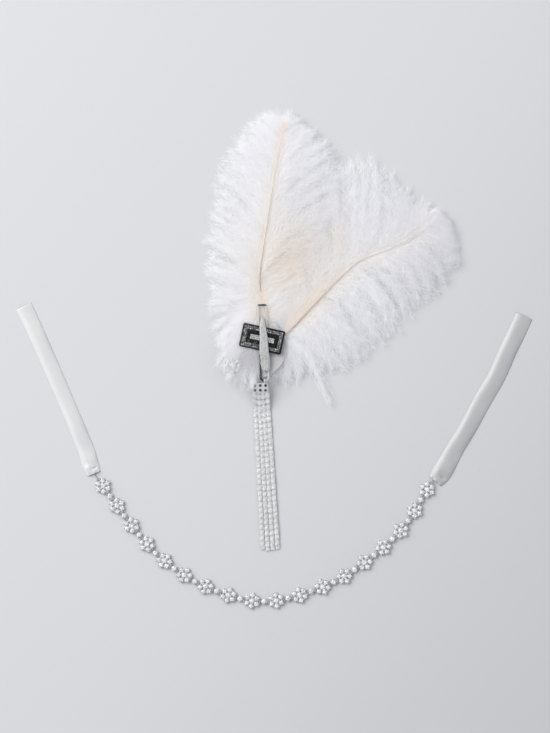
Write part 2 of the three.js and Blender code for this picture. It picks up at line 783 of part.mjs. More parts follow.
const tabBottom = STRIP_THICKNESS + CLEARANCE;
const tabTop = tabBottom + TAB_THICKNESS;
function flowerGeometry() {
  const pieces = [flowerPlate()];
  const slots = [];
  pieces.push(
    cutStone(FLOWER_CENTRE_STONE_RADIUS, STONE_SEAT, 0, 0, FLOWER_PLATE - STONE_SEAT),
  );
  for (let i = 0; i < PETAL_COUNT; i++) {
    const angle = ((2 * Math.PI) / PETAL_COUNT) * (i + 0.5);
    const x = PETAL_CIRCLE * Math.cos(angle);
    const y = PETAL_CIRCLE * Math.sin(angle);
    pieces.push(cutStone(PETAL_STONE_RADIUS, STONE_SEAT, x, y, FLOWER_PLATE - STONE_SEAT));
  }
  for (const side of [1, -1]) {
    const inner = FLOWER_VALLEY - TAB_THICKNESS;
    const length = TAB_REACH - inner;
    const middle = side * (inner + length / 2);
    pieces.push(block(length, TAB_WIDTH, TAB_THICKNESS, middle, 0, tabBottom));
    slots.push(
      block(
        POST_THICKNESS + 2 * CLEARANCE,
        POST_WIDTH + 2 * CLEARANCE,
        TAB_THICKNESS * 3,
        side * SLOT_CENTRE,
        0,
        tabBottom - TAB_THICKNESS,
      ),
    );
  }
  return fused(pieces, slots);
}

// A bent strip seen from the side: flat between the posts that stand up at its ends.
function bentStrip(outline) {
  const shape = new THREE.Shape(outline.map(([x, z]) => new THREE.Vector2(x, z)));
  return new THREE.ExtrudeGeometry(shape, { depth: POST_WIDTH, bevelEnabled: false })
    .translate(0, 0, -POST_WIDTH / 2)
    .rotateX(Math.PI / 2);
}
const crossbarBottom = tabTop + CLEARANCE;
const postTop = crossbarBottom + CROSSBAR_THICKNESS / 2;
function crossbar(x) {
  return block(POST_THICKNESS, CROSSBAR_LENGTH, CROSSBAR_THICKNESS, x, 0, crossbarBottom);
}

// Link between two flowers: a round cup with one stone on a strip, whose ends stand up
// through the tabs' slots and carry a crossbar.
function linkGeometry() {
  const post = FLOWER_PITCH / 2 - SLOT_CENTRE;
  const outer = post + POST_THICKNESS / 2;
  const inner = post - POST_THICKNESS / 2;
  const strip = bentStrip([
    [-outer, 0],
    [outer, 0],
    [outer, postTop],
    [inner, postTop],
    [inner, STRIP_THICKNESS],
    [-inner, STRIP_THICKNESS],
    [-inner, postTop],
    [-outer, postTop],
  ]);
  return fused([
    strip,
    cutStone(LINK_STONE_RADIUS, LINK_CUP_HEIGHT),
    crossbar(post),
    crossbar(-post),
  ]);
}

// Route of the chain, stretched about its middle to the length of its flowers.
const chainLength = (FLOWER_COUNT - 1) * FLOWER_PITCH;
const drawnRoute = new THREE.CatmullRomCurve3(
  CHAIN_ROUTE.map(([x, y]) => new THREE.Vector3(x, y, 0)),
);
const routeMiddle = drawnRoute.getPointAt(0.5);
const stretch = chainLength / drawnRoute.getLength();
const chainRoute = new THREE.CatmullRomCurve3(
  drawnRoute.points.map((p) => p.clone().sub(routeMiddle).multiplyScalar(stretch).add(routeMiddle)),
);
chainRoute.arcLengthDivisions = 1000;

const flowerShape = flowerGeometry();
const linkShape = linkGeometry();
const flowerPlaces = [];
for (let i = 0; i < FLOWER_COUNT; i++) {
  const share = i / (FLOWER_COUNT - 1);
  const centre = chainRoute.getPointAt(share);
  const heading = chainRoute.getTangentAt(share);
  flowerPlaces.push({ centre, heading });
  const flower = addPart("flower_" + String(i + 1).padStart(2, "0"), flowerShape, "crystal");
  flower.position.copy(centre);
  flower.rotation.z = Math.atan2(heading.y, heading.x);
}
for (let i = 0; i < FLOWER_COUNT - 1; i++) {
  const here = flowerPlaces[i];
  const next = flowerPlaces[i + 1];
  const from = here.centre.clone().addScaledVector(here.heading, SLOT_CENTRE);
  const to = next.centre.clone().addScaledVector(next.heading, -SLOT_CENTRE);
  const link = addPart("link_" + String(i + 1).padStart(2, "0"), linkShape, "crystal");
  link.position.copy(from).lerp(to, 0.5);
  link.rotation.z = Math.atan2(to.y - from.y, to.x - from.x);
}

// End link: a post in the end flower's slot and a flat tongue that lies under the hem.
function endLinkGeometry() {
  const outer = POST_THICKNESS / 2;
  const strip = bentStrip([
    [-outer, 0],
    [TONGUE_LENGTH, 0],
    [TONGUE_LENGTH, STRIP_THICKNESS],
    [outer, STRIP_THICKNESS],
    [outer, postTop],
    [-outer, postTop],
  ]);
  return fused([strip, crossbar(0)]);
}

// Satin ties: flat ribbons whose hemmed ends cover the chain's last tongues, running up
// and outwards in a slight wave. Places are shares of the ribbon's length from the chain's
// end, up along y and out in x. Width is a share of the ribbon's, hem of the hem's extra
// thickness, and lift of the ribbon's thickness.
const RIBBON_SECTIONS = {
  left: [
    { up: 0, out: 0, width: 0.86, hem: 0.7, lift: 0 },
    { up: 0.031, out: 0.018, width: 1.08, hem: 1, lift: 0 },
    { up: 0.086, out: 0.029, width: 1.16, hem: 0.9, lift: 0 },
    { up: 0.136, out: 0.039, width: 1.14, hem: 0.2, lift: 0.1 },
    { up: 0.214, out: 0.071, width: 1.07, hem: 0, lift: 0.6 },
    { up: 0.304, out: 0.106, width: 1, hem: 0, lift: 0.9 },
    { up: 0.393, out: 0.146, width: 0.97, hem: 0, lift: 0.4 },
    { up: 0.489, out: 0.189, width: 0.97, hem: 0, lift: 0 },
    { up: 0.571, out: 0.229, width: 0.98, hem: 0, lift: 0.5 },
    { up: 0.653, out: 0.268, width: 1, hem: 0, lift: 1 },
    { up: 0.729, out: 0.303, width: 1, hem: 0, lift: 0.5 },
    { up: 0.809, out: 0.339, width: 1, hem: 0, lift: 0 },
    { up: 0.905, out: 0.382, width: 1, hem: 0, lift: 0 },
  ],
  right: [
    { up: 0, out: 0, width: 0.72, hem: 0.6, lift: 0 },
    { up: 0.032, out: 0.029, width: 1.02, hem: 1, lift: 0 },
    { up: 0.093, out: 0.069, width: 1.12, hem: 0.9, lift: 0 },
    { up: 0.139, out: 0.096, width: 1.08, hem: 0.2, lift: 0.1 },
    { up: 0.184, out: 0.121, width: 1.05, hem: 0, lift: 0.5 },
    { up: 0.25, out: 0.163, width: 1.06, hem: 0, lift: 1 },
    { up: 0.319, out: 0.206, width: 1.07, hem: 0, lift: 0.6 },
    { up: 0.45, out: 0.274, width: 1.07, hem: 0, lift: 0 },
    { up: 0.554, out: 0.336, width: 1.07, hem: 0, lift: 0.4 },
    { up: 0.704, out: 0.404, width: 1.07, hem: 0, lift: 1 },
    { up: 0.795, out: 0.448, width: 1.05, hem: 0, lift: 0.5 },
    { up: 0.886, out: 0.491, width: 1.05, hem: 0, lift: 0 },
  ],
};

function ribbonGeometry(start, side, table, groove) {
  const route = table.map(
    (row) =>
      new THREE.Vector3(
        start.x + side * row.out * RIBBON_LENGTH,
        start.y + row.up * RIBBON_LENGTH,
        row.lift * RIBBON_THICKNESS,
      ),
  );
  const rings = table.map((row, i) => {
    const before = route[Math.max(i - 1, 0)];
    const after = route[Math.min(i + 1, table.length - 1)];
    const across = new THREE.Vector3(after.y - before.y, before.x - after.x, 0).normalize();
    across.multiplyScalar((row.width * RIBBON_WIDTH) / 2);
    const thickness = RIBBON_THICKNESS + row.hem * (HEM_THICKNESS - RIBBON_THICKNESS);
    const raised = (shift, height) => {
      const point = route[i].clone().addScaledVector(across, shift);
      point.z += height;
      return point;
    };
    return [
      raised(-1, 0),
      raised(1, 0),
      raised(1, thickness * RIBBON_EDGE),
      raised(0, thickness),
      raised(-1, thickness * RIBBON_EDGE),
    ];
  });
  return fused([loft(rings)], [groove]);
}

for (const [side, label, end] of [
  [-1, "left", flowerPlaces[0]],
  [1, "right", flowerPlaces[FLOWER_COUNT - 1]],
]) {
  const outward = end.heading.clone().multiplyScalar(side);
  const turn = Math.atan2(outward.y, outward.x);
  const slot = end.centre.clone().addScaledVector(outward, SLOT_CENTRE);
  const link = addPart("end_link_" + label, endLinkGeometry(), "silver");
  link.position.copy(slot);
  link.rotation.z = turn;

  const tongueSpace = block(
    2 * (TONGUE_LENGTH + CLEARANCE),
    POST_WIDTH + 2 * CLEARANCE,
    2 * (STRIP_THICKNESS + CLEARANCE),
    0,
    0,
    -STRIP_THICKNESS - CLEARANCE,
  );
  tongueSpace.rotateZ(turn).translate(slot.x, slot.y, 0);
  const hemStart = end.centre.clone().addScaledVector(outward, TAB_REACH + HEM_GAP);
  addPart(
    "ribbon_" + label,
    ribbonGeometry(hemStart, side, RIBBON_SECTIONS[label], tongueSpace),
    "satin",
  );
}

export default group;
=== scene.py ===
import bmesh
import bpy
import numpy as np
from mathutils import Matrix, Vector


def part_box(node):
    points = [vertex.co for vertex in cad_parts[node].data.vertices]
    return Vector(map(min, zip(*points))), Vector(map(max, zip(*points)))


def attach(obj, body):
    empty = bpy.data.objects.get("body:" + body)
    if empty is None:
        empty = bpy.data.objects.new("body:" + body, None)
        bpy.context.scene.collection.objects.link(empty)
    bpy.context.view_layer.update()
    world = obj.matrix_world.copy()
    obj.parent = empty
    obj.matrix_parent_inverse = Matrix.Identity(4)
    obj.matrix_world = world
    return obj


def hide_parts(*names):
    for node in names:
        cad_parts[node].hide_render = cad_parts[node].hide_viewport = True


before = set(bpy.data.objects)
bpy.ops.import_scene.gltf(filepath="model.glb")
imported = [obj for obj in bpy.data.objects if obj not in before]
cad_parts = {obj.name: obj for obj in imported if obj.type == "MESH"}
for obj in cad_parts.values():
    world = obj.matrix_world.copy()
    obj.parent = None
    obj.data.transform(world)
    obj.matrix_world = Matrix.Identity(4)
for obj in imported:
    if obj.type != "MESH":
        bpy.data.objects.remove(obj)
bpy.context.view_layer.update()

# The camera looks straight down on the laid-out headband, as the photograph does. Its frame
# takes in 412.5 by 549.75 mm of the surface, 0.75 mm to a pixel, and it stands high enough
# for the raised buckle to show no sides.
MM = 0.001
FRAME_HEIGHT = 549.75 * MM
CAMERA_HEIGHT = 1.6
CAMERA_PLACE = (14.25 * MM, -13.9 * MM, CAMERA_HEIGHT)
camera_data = bpy.data.cameras.new("overhead")
camera_data.sensor_width = 36
camera_data.lens = camera_data.sensor_width * CAMERA_HEIGHT / FRAME_HEIGHT
camera_data.clip_end = 20
camera = bpy.data.objects.new("overhead", camera_data)
camera.location = CAMERA_PLACE
bpy.context.scene.collection.objects.link(camera)
bpy.context.scene.camera = camera
bpy.context.scene.view_settings.view_transform = "Standard"


# The surface that it lies on is a smooth sheet of pale grey board, matt, with hardly any
# grain. It reaches far past the view on all sides.
class Shade:
    """A value that changes over a finish: the socket that gives it, in its node tree.
    + - * / on it add Math nodes, also with the number first."""

    def __init__(self, tree, socket=None):
        self.tree = tree
        self.socket = socket

    def node(self, kind, settings=None, sockets=None, out=0):
        """Any node: its settings are set first, a ramp's stops too, and then its sockets."""
        made = self.tree.nodes.new(kind)
        for name, value in (settings or {}).items():
            setattr(made, name, value)
        for name, value in (sockets or {}).items():
            if isinstance(value, Shade):
                self.tree.links.new(value.socket, made.inputs[name])
            else:
                made.inputs[name].default_value = value
        return Shade(self.tree, made.outputs[out] if len(made.outputs) else None)

    def maths(self, operation, first, second):
        return self.node("ShaderNodeMath", {"operation": operation}, {0: first, 1: second})

    def __add__(self, other):
        return self.maths("ADD", self, other)

    def __radd__(self, other):
        return self.maths("ADD", other, self)

    def __sub__(self, other):
        return self.maths("SUBTRACT", self, other)

    def __rsub__(self, other):
        return self.maths("SUBTRACT", other, self)

    def __mul__(self, other):
        return self.maths("MULTIPLY", self, other)

    def __rmul__(self, other):
        return self.maths("MULTIPLY", other, self)

    def between(self, low, high):
        """0 at low, 1 at high, and smooth between them."""
        ends = {0: self, 1: low, 2: high, 3: 0.0, 4: 1.0}
        return self.node("ShaderNodeMapRange", {"interpolation_type": "SMOOTHSTEP"}, ends)

    def colours(self, at_zero, at_one):
        """The colour that goes from one to the other as this value goes from 0 to 1.
        Either may be a Shade that gives a colour itself."""
        first, last = [c if isinstance(c, Shade) else (*c, 1) for c in (at_zero, at_one)]
        ends = {0: self, 6: first, 7: last}
        return self.node("ShaderNodeMix", {"data_type": "RGBA"}, ends, out=2)


def new_finish(name):
    """An empty material, and the Shade that its nodes are made from."""
    finish = bpy.data.materials.new(name)
    finish.use_nodes = True
    finish.node_tree.nodes.clear()
    return finish, Shade(finish.node_tree)


def places_on(paint, scale):
    """The place on the object in metres, times scale along x, y and z."""
    coordinates = paint.node("ShaderNodeTexCoord", out=3)
    return paint.node("ShaderNodeMapping", {}, {0: coordinates, 3: scale})


def grain(paint, scale, detail=2.0, roughness=0.5):
    """Soft noise from 0 to 1 over the piece, with scale waves a metre along each axis."""
    sockets = {0: places_on(paint, scale), 2: 1.0, 3: detail, 4: roughness}
    return paint.node("ShaderNodeTexNoise", {}, sockets)


def bumped(paint, height, depth_mm, strength=1.0):
    """The normal of a surface that is raised by height times depth_mm."""
    sockets = {"Strength": strength, "Distance": depth_mm * MM, "Height": height}
    return paint.node("ShaderNodeBump", {}, sockets)


def coat(paint, surface):
    """Puts a shader on the finish's surface."""
    paint.node("ShaderNodeOutputMaterial", {}, {0: surface})


def mesh_piece(name, places, faces, finish, smooth=False, values=None):
    """A mesh object from an array of places in mm and an array of faces that all have the
    same number of corners. values are named numbers kept at its corners."""
    mesh = bpy.data.meshes.new(name)
    mesh.vertices.add(len(places))
    mesh.vertices.foreach_set("co", (np.asarray(places) * MM).astype(np.float32).ravel())
    mesh.loops.add(faces.size)
    mesh.loops.foreach_set("vertex_index", faces.astype(np.int32).ravel())
    mesh.polygons.add(len(faces))
    starts = np.arange(len(faces), dtype=np.int32) * faces.shape[1]
    mesh.polygons.foreach_set("loop_start", starts)
    mesh.polygons.foreach_set("use_smooth", np.full(len(faces), smooth))
    for key, numbers in (values or {}).items():
        kept = mesh.attributes.new(key, "FLOAT", "POINT")
        kept.data.foreach_set("value", np.asarray(numbers, np.float32).ravel())
    mesh.update(calc_edges=True)
    mesh.materials.append(finish)
    piece = bpy.data.objects.new(name, mesh)
    bpy.context.scene.collection.objects.link(piece)
    return piece


BOARD_REACH = 6000
BOARD_DROP = 0.05
BOARD_LIT = (0.598, 0.601, 0.618)
BOARD_SHADED = (0.525, 0.528, 0.545)
board_finish, paint = new_finish("board")
place = paint.node("ShaderNodeTexCoord", out=3)
rightward = paint.node("ShaderNodeSeparateXYZ", {}, {0: place}, out=0)
upward = paint.node("ShaderNodeSeparateXYZ", {}, {0: place}, out=1)
# Painted shade: the board goes from its lit tone to a darker one towards the lower right, where the
# lamps' light falls off.
falloff = (rightward - 0.6 * upward).between(-0.02, 0.43)
board_grain = grain(paint, (900, 900, 900)) * 0.08
board_tone = (falloff + board_grain).colours(BOARD_LIT, BOARD_SHADED)
coat(paint, paint.node("ShaderNodeBsdfPrincipled", {}, {"Base Color": board_tone, "Roughness": 0.85}))
board_corners = np.array([[-1, -1], [1, -1], [1, 1], [-1, 1]]) * BOARD_REACH
board = mesh_piece(
    "board",
    np.column_stack([board_corners, np.full(4, -BOARD_DROP)]),
    np.array([[0, 1, 2, 3]]),
    board_finish,
)

# Studio light: a large soft lamp high on the left and a little towards the top, a weaker one
# from the right, and a pale room that is greyer overhead, so that cut stones glint.
# Name, place and side in metres, and power in watts
LAMPS = [
    ("window", (-1.8, 1.2, 2.0), 2.3, 88),
    ("reflector", (1.5, 0.9, 2.0), 1.6, 7),
]
LAMP_COLOUR = (1.0, 0.985, 0.97)
ROOM_STRENGTH = 0.66
for lamp_name, place, size, power in LAMPS:
    lamp_data = bpy.data.lights.new(lamp_name, "AREA")
    lamp_data.shape = "SQUARE"
    lamp_data.size = size
    lamp_data.energy = power
    lamp_data.color = LAMP_COLOUR
    lamp = bpy.data.objects.new(lamp_name, lamp_data)
    lamp.location = place
    lamp.rotation_mode = "QUATERNION"
    lamp.rotation_quaternion = (-Vector(place)).to_track_quat("-Z", "Y")
    bpy.context.scene.collection.objects.link(lamp)

room = bpy.data.worlds.new("room")
room.use_nodes = True
room.node_tree.nodes.clear()
air = Shade(room.node_tree)
heading = air.node("ShaderNodeSeparateXYZ", {}, {0: air.node("ShaderNodeTexCoord", out=0)}, out=2)
room_tone = heading.between(0.55, 0.98).colours((0.95, 0.97, 1.0), (0.55, 0.57, 0.60))
room_light = air.node("ShaderNodeBackground", {}, {0: room_tone, 1: ROOM_STRENGTH})
air.node("ShaderNodeOutputWorld", {}, {0: room_light})
bpy.context.scene.world = room


# Satin ties: half-inch white ribbon, hemmed at the chain's ends and laid out flat in a slight
# wave. The folded hem is stitched over the chain's last tongue, which puckers it.
def smooth_line(rows, count):
    """count rows spaced along a table: its columns are joined by cubic pieces whose slope
    at each row is half the step between its neighbours (Catmull-Rom)."""
    rows = np.asarray(rows, float)
    padded = np.vstack([2 * rows[0] - rows[1], rows, 2 * rows[-1] - rows[-2]])
    at = np.linspace(0, len(rows) - 1, count)
    k = np.minimum(at.astype(int), len(rows) - 2)
    t = (at - k)[:, None]
    before, first, last, after = (padded[k + i] for i in range(4))
    return 0.5 * (
        2 * first
        + (last - before) * t
        + (2 * before - 5 * first + 4 * last - after) * t**2
        + (3 * first - before - 3 * last + after) * t**3
    )


def grid_faces(rows, columns, closed=False):
    """Quads between neighbouring points of a grid, numbered row by row. A closed grid joins
    the last column to the first."""
    i = np.arange(rows - 1)[:, None]
    j = np.arange(columns if closed else columns - 1)[None, :]
    k = (j + 1) % columns
    corners = [i * columns + j, i * columns + k, (i + 1) * columns + k, (i + 1) * columns + j]
    return np.stack([c + 0 * (i + j) for c in corners], -1).reshape(-1, 4)


def tidy(piece):
    """Merges doubled points and turns all faces outwards."""
    shape = bmesh.new()
    shape.from_mesh(piece.data)
    bmesh.ops.remove_doubles(shape, verts=shape.verts, dist=1e-7)
    bmesh.ops.recalc_face_normals(shape, faces=shape.faces)
    shape.to_mesh(piece.data)
    shape.free()
    return piece


# x, y and z of the middle line, width and hem fold, in mm, from the chain outwards
TIE_ROUTES = {
    "left": [
        (-121.5, -94.2, 0.2, 10.6, 0.8),
        (-122.9, -90.8, 0.2, 11.8, 1.0),
        (-124.8, -85.5, 0.2, 12.4, 0.9),
        (-127.0, -77.5, 0.3, 12.4, 0.15),
        (-130.4, -69.0, 0.8, 12.2, 0.0),
        (-135.0, -58.0, 1.0, 12.0, 0.0),
        (-142.8, -39.5, 0.3, 11.8, 0.0),
        (-152.2, -17.5, 0.5, 12.0, 0.0),
        (-160.6, 1.5, 1.0, 12.3, 0.0),
        (-168.5, 19.0, 0.3, 12.5, 0.0),
        (-174.3, 31.2, 0.2, 12.6, 0.0),
    ],
    "right": [
        (134.2, -99.8, 0.2, 11.6, 0.8),
        (137.6, -95.8, 0.2, 14.4, 1.0),
        (141.8, -89.3, 0.2, 14.8, 0.9),
        (145.8, -82.0, 0.3, 13.8, 0.15),
        (150.5, -73.5, 0.8, 13.4, 0.0),
        (160.0, -57.5, 1.0, 13.4, 0.0),
        (170.4, -38.5, 0.3, 13.4, 0.0),
        (180.5, -21.0, 0.6, 13.4, 0.0),
        (188.6, -2.5, 1.0, 13.4, 0.0),
        (195.2, 11.0, 0.3, 13.2, 0.0),
        (201.2, 24.0, 0.2, 13.2, 0.0),
    ],
}
TIE_STEPS = 150
TIE_ACROSS = 25
# Height in mm of the long ridge in each tie, and where it runs from left edge -1 to right 1
TIE_RIDGE = {"left": (1.0, -0.2), "right": (1.1, -0.35)}
TIE_WALL = 0.2
HEM_RISE = 1.1
RIPPLE_HEIGHT = 0.22
PUCKER_HEIGHT = 0.4
DIMPLE_DEPTH = 1.0
PUFF_HEIGHT = 0.8

satin_finish, paint = new_finish("white_satin")
along_tie = paint.node("ShaderNodeUVMap", {"uv_map": "weave"})
warp = paint.node("ShaderNodeMapping", {}, {0: along_tie, 3: (260, 6, 1)})
warp = paint.node("ShaderNodeTexNoise", {}, {0: warp, 2: 1.0, 3: 3.0})
mottle = grain(paint, (70, 70, 70))
across_tie = paint.node("ShaderNodeSeparateXYZ", {}, {0: along_tie}, out=0)
place = paint.node("ShaderNodeTexCoord", out=3)
# Painted shade and highlight: the right tie is painted darker than the left, and each tie's left edge
# lighter, as a lengthwise highlight.
right_tie = paint.node("ShaderNodeSeparateXYZ", {}, {0: place}, out=0).between(-0.05, 0.05)
left_tone = mottle.colours((0.60, 0.60, 0.612), (0.65, 0.65, 0.662))
right_tie_painted_shade_tone = mottle.colours((0.42, 0.42, 0.432), (0.47, 0.47, 0.482))
painted_edge_highlight = across_tie.between(0.5, 0.1)
left_tone = painted_edge_highlight.colours(left_tone, (0.66, 0.66, 0.67))
right_tie_painted_shade_tone = painted_edge_highlight.colours(right_tie_painted_shade_tone, (0.50, 0.50, 0.51))
satin_tone = right_tie.colours(left_tone, right_tie_painted_shade_tone)
satin = {
    "Base Color": satin_tone,
    "Roughness": 0.30 + warp * 0.16,
    "Anisotropic": 0.4,
    "Sheen Weight": 0.25,
    "Specular IOR Level": 0.55,
    "Normal": bumped(paint, warp, 0.06, 0.6),
}
coat(paint, paint.node("ShaderNodeBsdfPrincipled", {}, satin))


def lay_satin(name, top, wall, finish):
    """A strip of cloth from a grid of places on its upper face. The lower face lies wall mm
    below, and the grid is closed round both long edges and both ends. Its own map runs
    across and along the strip."""
    rows, columns = top.shape[:2]
    below = top[:, ::-1].copy()
    below[..., 2] = np.maximum(below[..., 2] - wall, 0.0)
    ring = np.concatenate([top, below], 1)
    middle = ring.mean(1, keepdims=True)
    ring = np.concatenate([ring[:1] * 0 + middle[:1], ring, ring[-1:] * 0 + middle[-1:]], 0)
    faces = grid_faces(rows + 2, 2 * columns, closed=True)
    piece = mesh_piece(name, ring.reshape(-1, 3), faces, finish, smooth=True)
    across = np.concatenate([np.linspace(0, 1, columns), np.linspace(1, 0, columns)])
    u, v = np.meshgrid(across, np.linspace(0, 1, rows + 2))
    weave = piece.data.uv_layers.new(name="weave")
    weave.data.foreach_set("uv", np.stack([u.ravel(), v.ravel()], 1)[faces.ravel()].ravel())
    return tidy(piece)


# Across a tie, w goes from -1 to 1. The upper face is a crown, one parabola on each side of
# the ridge, plus what fades out towards the long edges as 1 - w**4: ripples as a sine along
# the tie, the hem's fold and pucker, and a dimple and a puff beside it as bell curves.
for side, route in TIE_ROUTES.items():
    line = smooth_line(route, TIE_STEPS)
    share = np.linspace(0, 1, TIE_STEPS)[:, None]
    step = np.gradient(line[:, :2], axis=0)
    step /= np.linalg.norm(step, axis=1, keepdims=True)
    across = np.stack([step[:, 1], -step[:, 0]], 1)
    w = np.linspace(-1, 1, TIE_ACROSS)[None, :]
    ripple = RIPPLE_HEIGHT * np.sin(share * 31 + w * 1.3) * (1 - share * 0.4)
    pucker = np.exp(-((share / 0.03) ** 2)) * PUCKER_HEIGHT * np.cos(w * 7.5)
    fold = line[:, 4:5] * HEM_RISE * (0.75 + 0.25 * np.cos(w * 1.5))
    dimple = DIMPLE_DEPTH * np.exp(-(((share - 0.10) / 0.018) ** 2) - ((w - 0.4) / 0.3) ** 2)
    puff = PUFF_HEIGHT * np.exp(-(((share - 0.14) / 0.04) ** 2) - ((w + 0.45) / 0.45) ** 2)
    ridge, ridge_at = TIE_RIDGE[side]
    half_width = np.where(w < ridge_at, 1 + ridge_at, 1 - ridge_at)
    crown = ridge * (1 - ((w - ridge_at) / half_width) ** 2) * (1 - line[:, 4:5] * 0.4)
    top = np.zeros((TIE_STEPS, TIE_ACROSS, 3))
    top[..., :2] = line[:, None, :2] + across[:, None] * (line[:, 3:4] / 2 * w)[..., None]
    folds = (line[:, 2:3] + ripple + fold + pucker + puff - dimple) * (1 - w**4)
    top[..., 2] = np.maximum(TIE_WALL + crown + folds, TIE_WALL)
    tie = lay_satin("tie_" + side, top, TIE_WALL, satin_finish)
    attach(tie, "root")
    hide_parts("ribbon_" + side)


# Flower chain: eighteen stamped flowers, each with a round crystal on every petal and one in
# the middle, held in thin cups with small claws. Between flowers sits one crystal in a round
# cup, whose strip hooks through the flowers' tabs.
def turned(profile, sides, closed=False):
    """A profile of radius and height rows carried round the z axis: x and y are the radius
    times the cosine and sine of the turn. closed joins the profile's end to its start."""
    profile = np.asarray(profile, float)
    turn = np.arange(sides) / sides * 2 * np.pi
    rows = np.vstack([profile, profile[:1]]) if closed else profile
    x, y = rows[:, :1] * np.cos(turn), rows[:, :1] * np.sin(turn)
    places = np.stack([x, y, np.repeat(rows[:, 1:], sides, 1)], -1).reshape(-1, 3)
    quads = grid_faces(len(rows), sides, closed=True)
    return places, np.vstack([quads[:, [0, 1, 2]], quads[:, [0, 2, 3]]])


def brilliant(facets):
    """A cut stone of radius 1: a flat table, star facets down to a ring turned by half a
    facet, and crown facets down to a girdle with twice as many corners."""
    turn = np.arange(facets) / facets * 2 * np.pi
    half = np.pi / facets
    around = np.arange(2 * facets) / (2 * facets) * 2 * np.pi

    def ring(angle, radius, height):
        return np.stack([radius * np.cos(angle), radius * np.sin(angle), 0 * angle + height], 1)

    places = np.vstack(
        [[[0, 0, 0.55]], ring(turn, 0.56, 0.55), ring(turn + half, 0.8, 0.36), ring(around, 1, 0)]
    )
    i = np.arange(facets)
    n = (i + 1) % facets
    table, star, girdle = 1, 1 + facets, 1 + 2 * facets
    here, edge, ahead = girdle + 2 * i, girdle + 2 * i + 1, girdle + 2 * n
    faces = [
        (0 * i, table + i, table + n),
        (table + i, star + i, table + n),
        (table + n, star + i, ahead),
        (star + i, here, edge),
        (star + i, edge, ahead),
        (table + i, here, star + i),
    ]
    return places, np.vstack([np.stack(np.broadcast_arrays(*face), 1) for face in faces])


def copies(shape, centres, sizes, turns, leans=None):
    """Many of one shape: each is scaled by its size, turned by its angle about z, leaned by
    small slopes in x and y, and moved to its centre."""
    places, faces = shape
    centres, sizes = np.asarray(centres, float), np.asarray(sizes, float).reshape(-1, 1)
    leans = np.zeros((len(centres), 2)) if leans is None else leans
    x, y, z = (places[:, i] * sizes for i in range(3))
    c, s = np.cos(turns)[:, None], np.sin(turns)[:, None]
    x, y = x * c - y * s, x * s + y * c
    z = z + x * leans[:, :1] + y * leans[:, 1:]
    made = np.stack([x, y, z], -1) + centres[:, None]
    shift = np.arange(len(centres))[:, None, None] * len(places)
    return made.reshape(-1, 3), (faces[None] + shift).reshape(-1, 3)


def together(*shapes):
    """Several shapes as one array of places and one of faces."""
    counts = np.cumsum([0] + [len(places) for places, _ in shapes])
    places = np.vstack([places for places, _ in shapes])
    return places, np.vstack([faces + n for (_, faces), n in zip(shapes, counts)])


chance = np.random.default_rng(18)
PETAL_CIRCLE = 4.15
PETAL_STONE = 1.76
CENTRE_STONE = 2.0
CUP_STONE = 1.98
GIRDLE_HEIGHT = 1.74
CLAW_RISE = 0.28
CLAW_SIZE = 1.6
cup = turned([(1.0, -0.28), (1.11, -0.28), (1.13, 0.1), (1.06, 0.16), (1.0, 0.06)], 16, True)
claw = turned([(0.0, 0.22), (0.15, 0.12), (0.19, -0.1), (0.0, -0.3)], 5)


def cut_crystal(name, dark, mid, bright, gloss=1.0):
    """A foiled crystal: small cells of dark to mid tones, some of them bright, which tip its facets a
    little, under a clear coat with this much gloss. The cells' tones are painted reflections from inside
    the cut, and the bright ones painted glints."""
    finish, paint = new_finish(name)
    cells = {0: places_on(paint, (1250, 1250, 1250)), 2: 1.0}
    cells = paint.node("ShaderNodeTexVoronoi", {}, cells, 1)
    spark = paint.node("ShaderNodeSeparateColor", {}, {0: cells}, out=0)
    glint = paint.node("ShaderNodeSeparateColor", {}, {0: cells}, out=1)
    # Painted reflections and glints: dark to mid cells, with bright ones among them.
    painted_reflection_tone = spark.between(0.08, 0.55).colours(dark, mid)
    sockets = {
        "Base Color": glint.between(0.70, 0.84).colours(painted_reflection_tone, bright),
        "Metallic": 0.3 * gloss,
        "Roughness": 0.5 - 0.4 * gloss,
        "Coat Weight": gloss,
        "Coat Roughness": 0.02,
        "Normal": bumped(paint, spark, 0.2, 0.6),
    }
    coat(paint, paint.node("ShaderNodeBsdfPrincipled", {}, sockets))
    return finish


def plated(name, dark, bright, metallic):
    """Plated metal, darker where it has tarnished, with a fine uneven polish."""
    finish, paint = new_finish(name)
    wear = grain(paint, (420, 420, 420), 3.0)
    sockets = {
        "Base Color": wear.between(0.3, 0.7).colours(dark, bright),
        "Metallic": metallic,
        "Roughness": 0.16 + wear * 0.2,
        "Normal": bumped(paint, grain(paint, (2400, 2400, 2400)), 0.03, 0.5),
    }
    coat(paint, paint.node("ShaderNodeBsdfPrincipled", {}, sockets))
    return finish


crystal_finish = cut_crystal("crystal", (0.54, 0.54, 0.56), (0.78, 0.79, 0.81), (0.92, 0.92, 0.92), 0.7)
soft_finish = cut_crystal("soft_crystal", (0.50, 0.50, 0.52), (0.62, 0.63, 0.64), (0.78, 0.78, 0.79), 0.3)
silver_finish = plated("silver_plate", (0.66, 0.66, 0.67), (0.90, 0.90, 0.91), 0.4)
# Painted shade: the same silver made darker, for the plates that lie in shade under the stones.
shadowed_finish = plated("shadowed_silver", (0.42, 0.42, 0.43), (0.68, 0.68, 0.69), 0.4)
# Painted shade: the claws are near black, standing in for the shade in the gaps between the petals.
claw_shade_finish = plated("claws_in_painted_shade", (0.08, 0.08, 0.085), (0.34, 0.34, 0.35), 0.4)


def middle_of(node):
    """The middle of a CAD node's box, in mm."""
    low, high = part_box(node)
    return (np.array(low) + np.array(high)) / 2 / MM


def dress(node, finish):
    """Gives a CAD node its finish."""
    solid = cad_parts[node]
    if solid.data.materials:
        solid.data.materials[0] = finish
    else:
        solid.data.materials.append(finish)


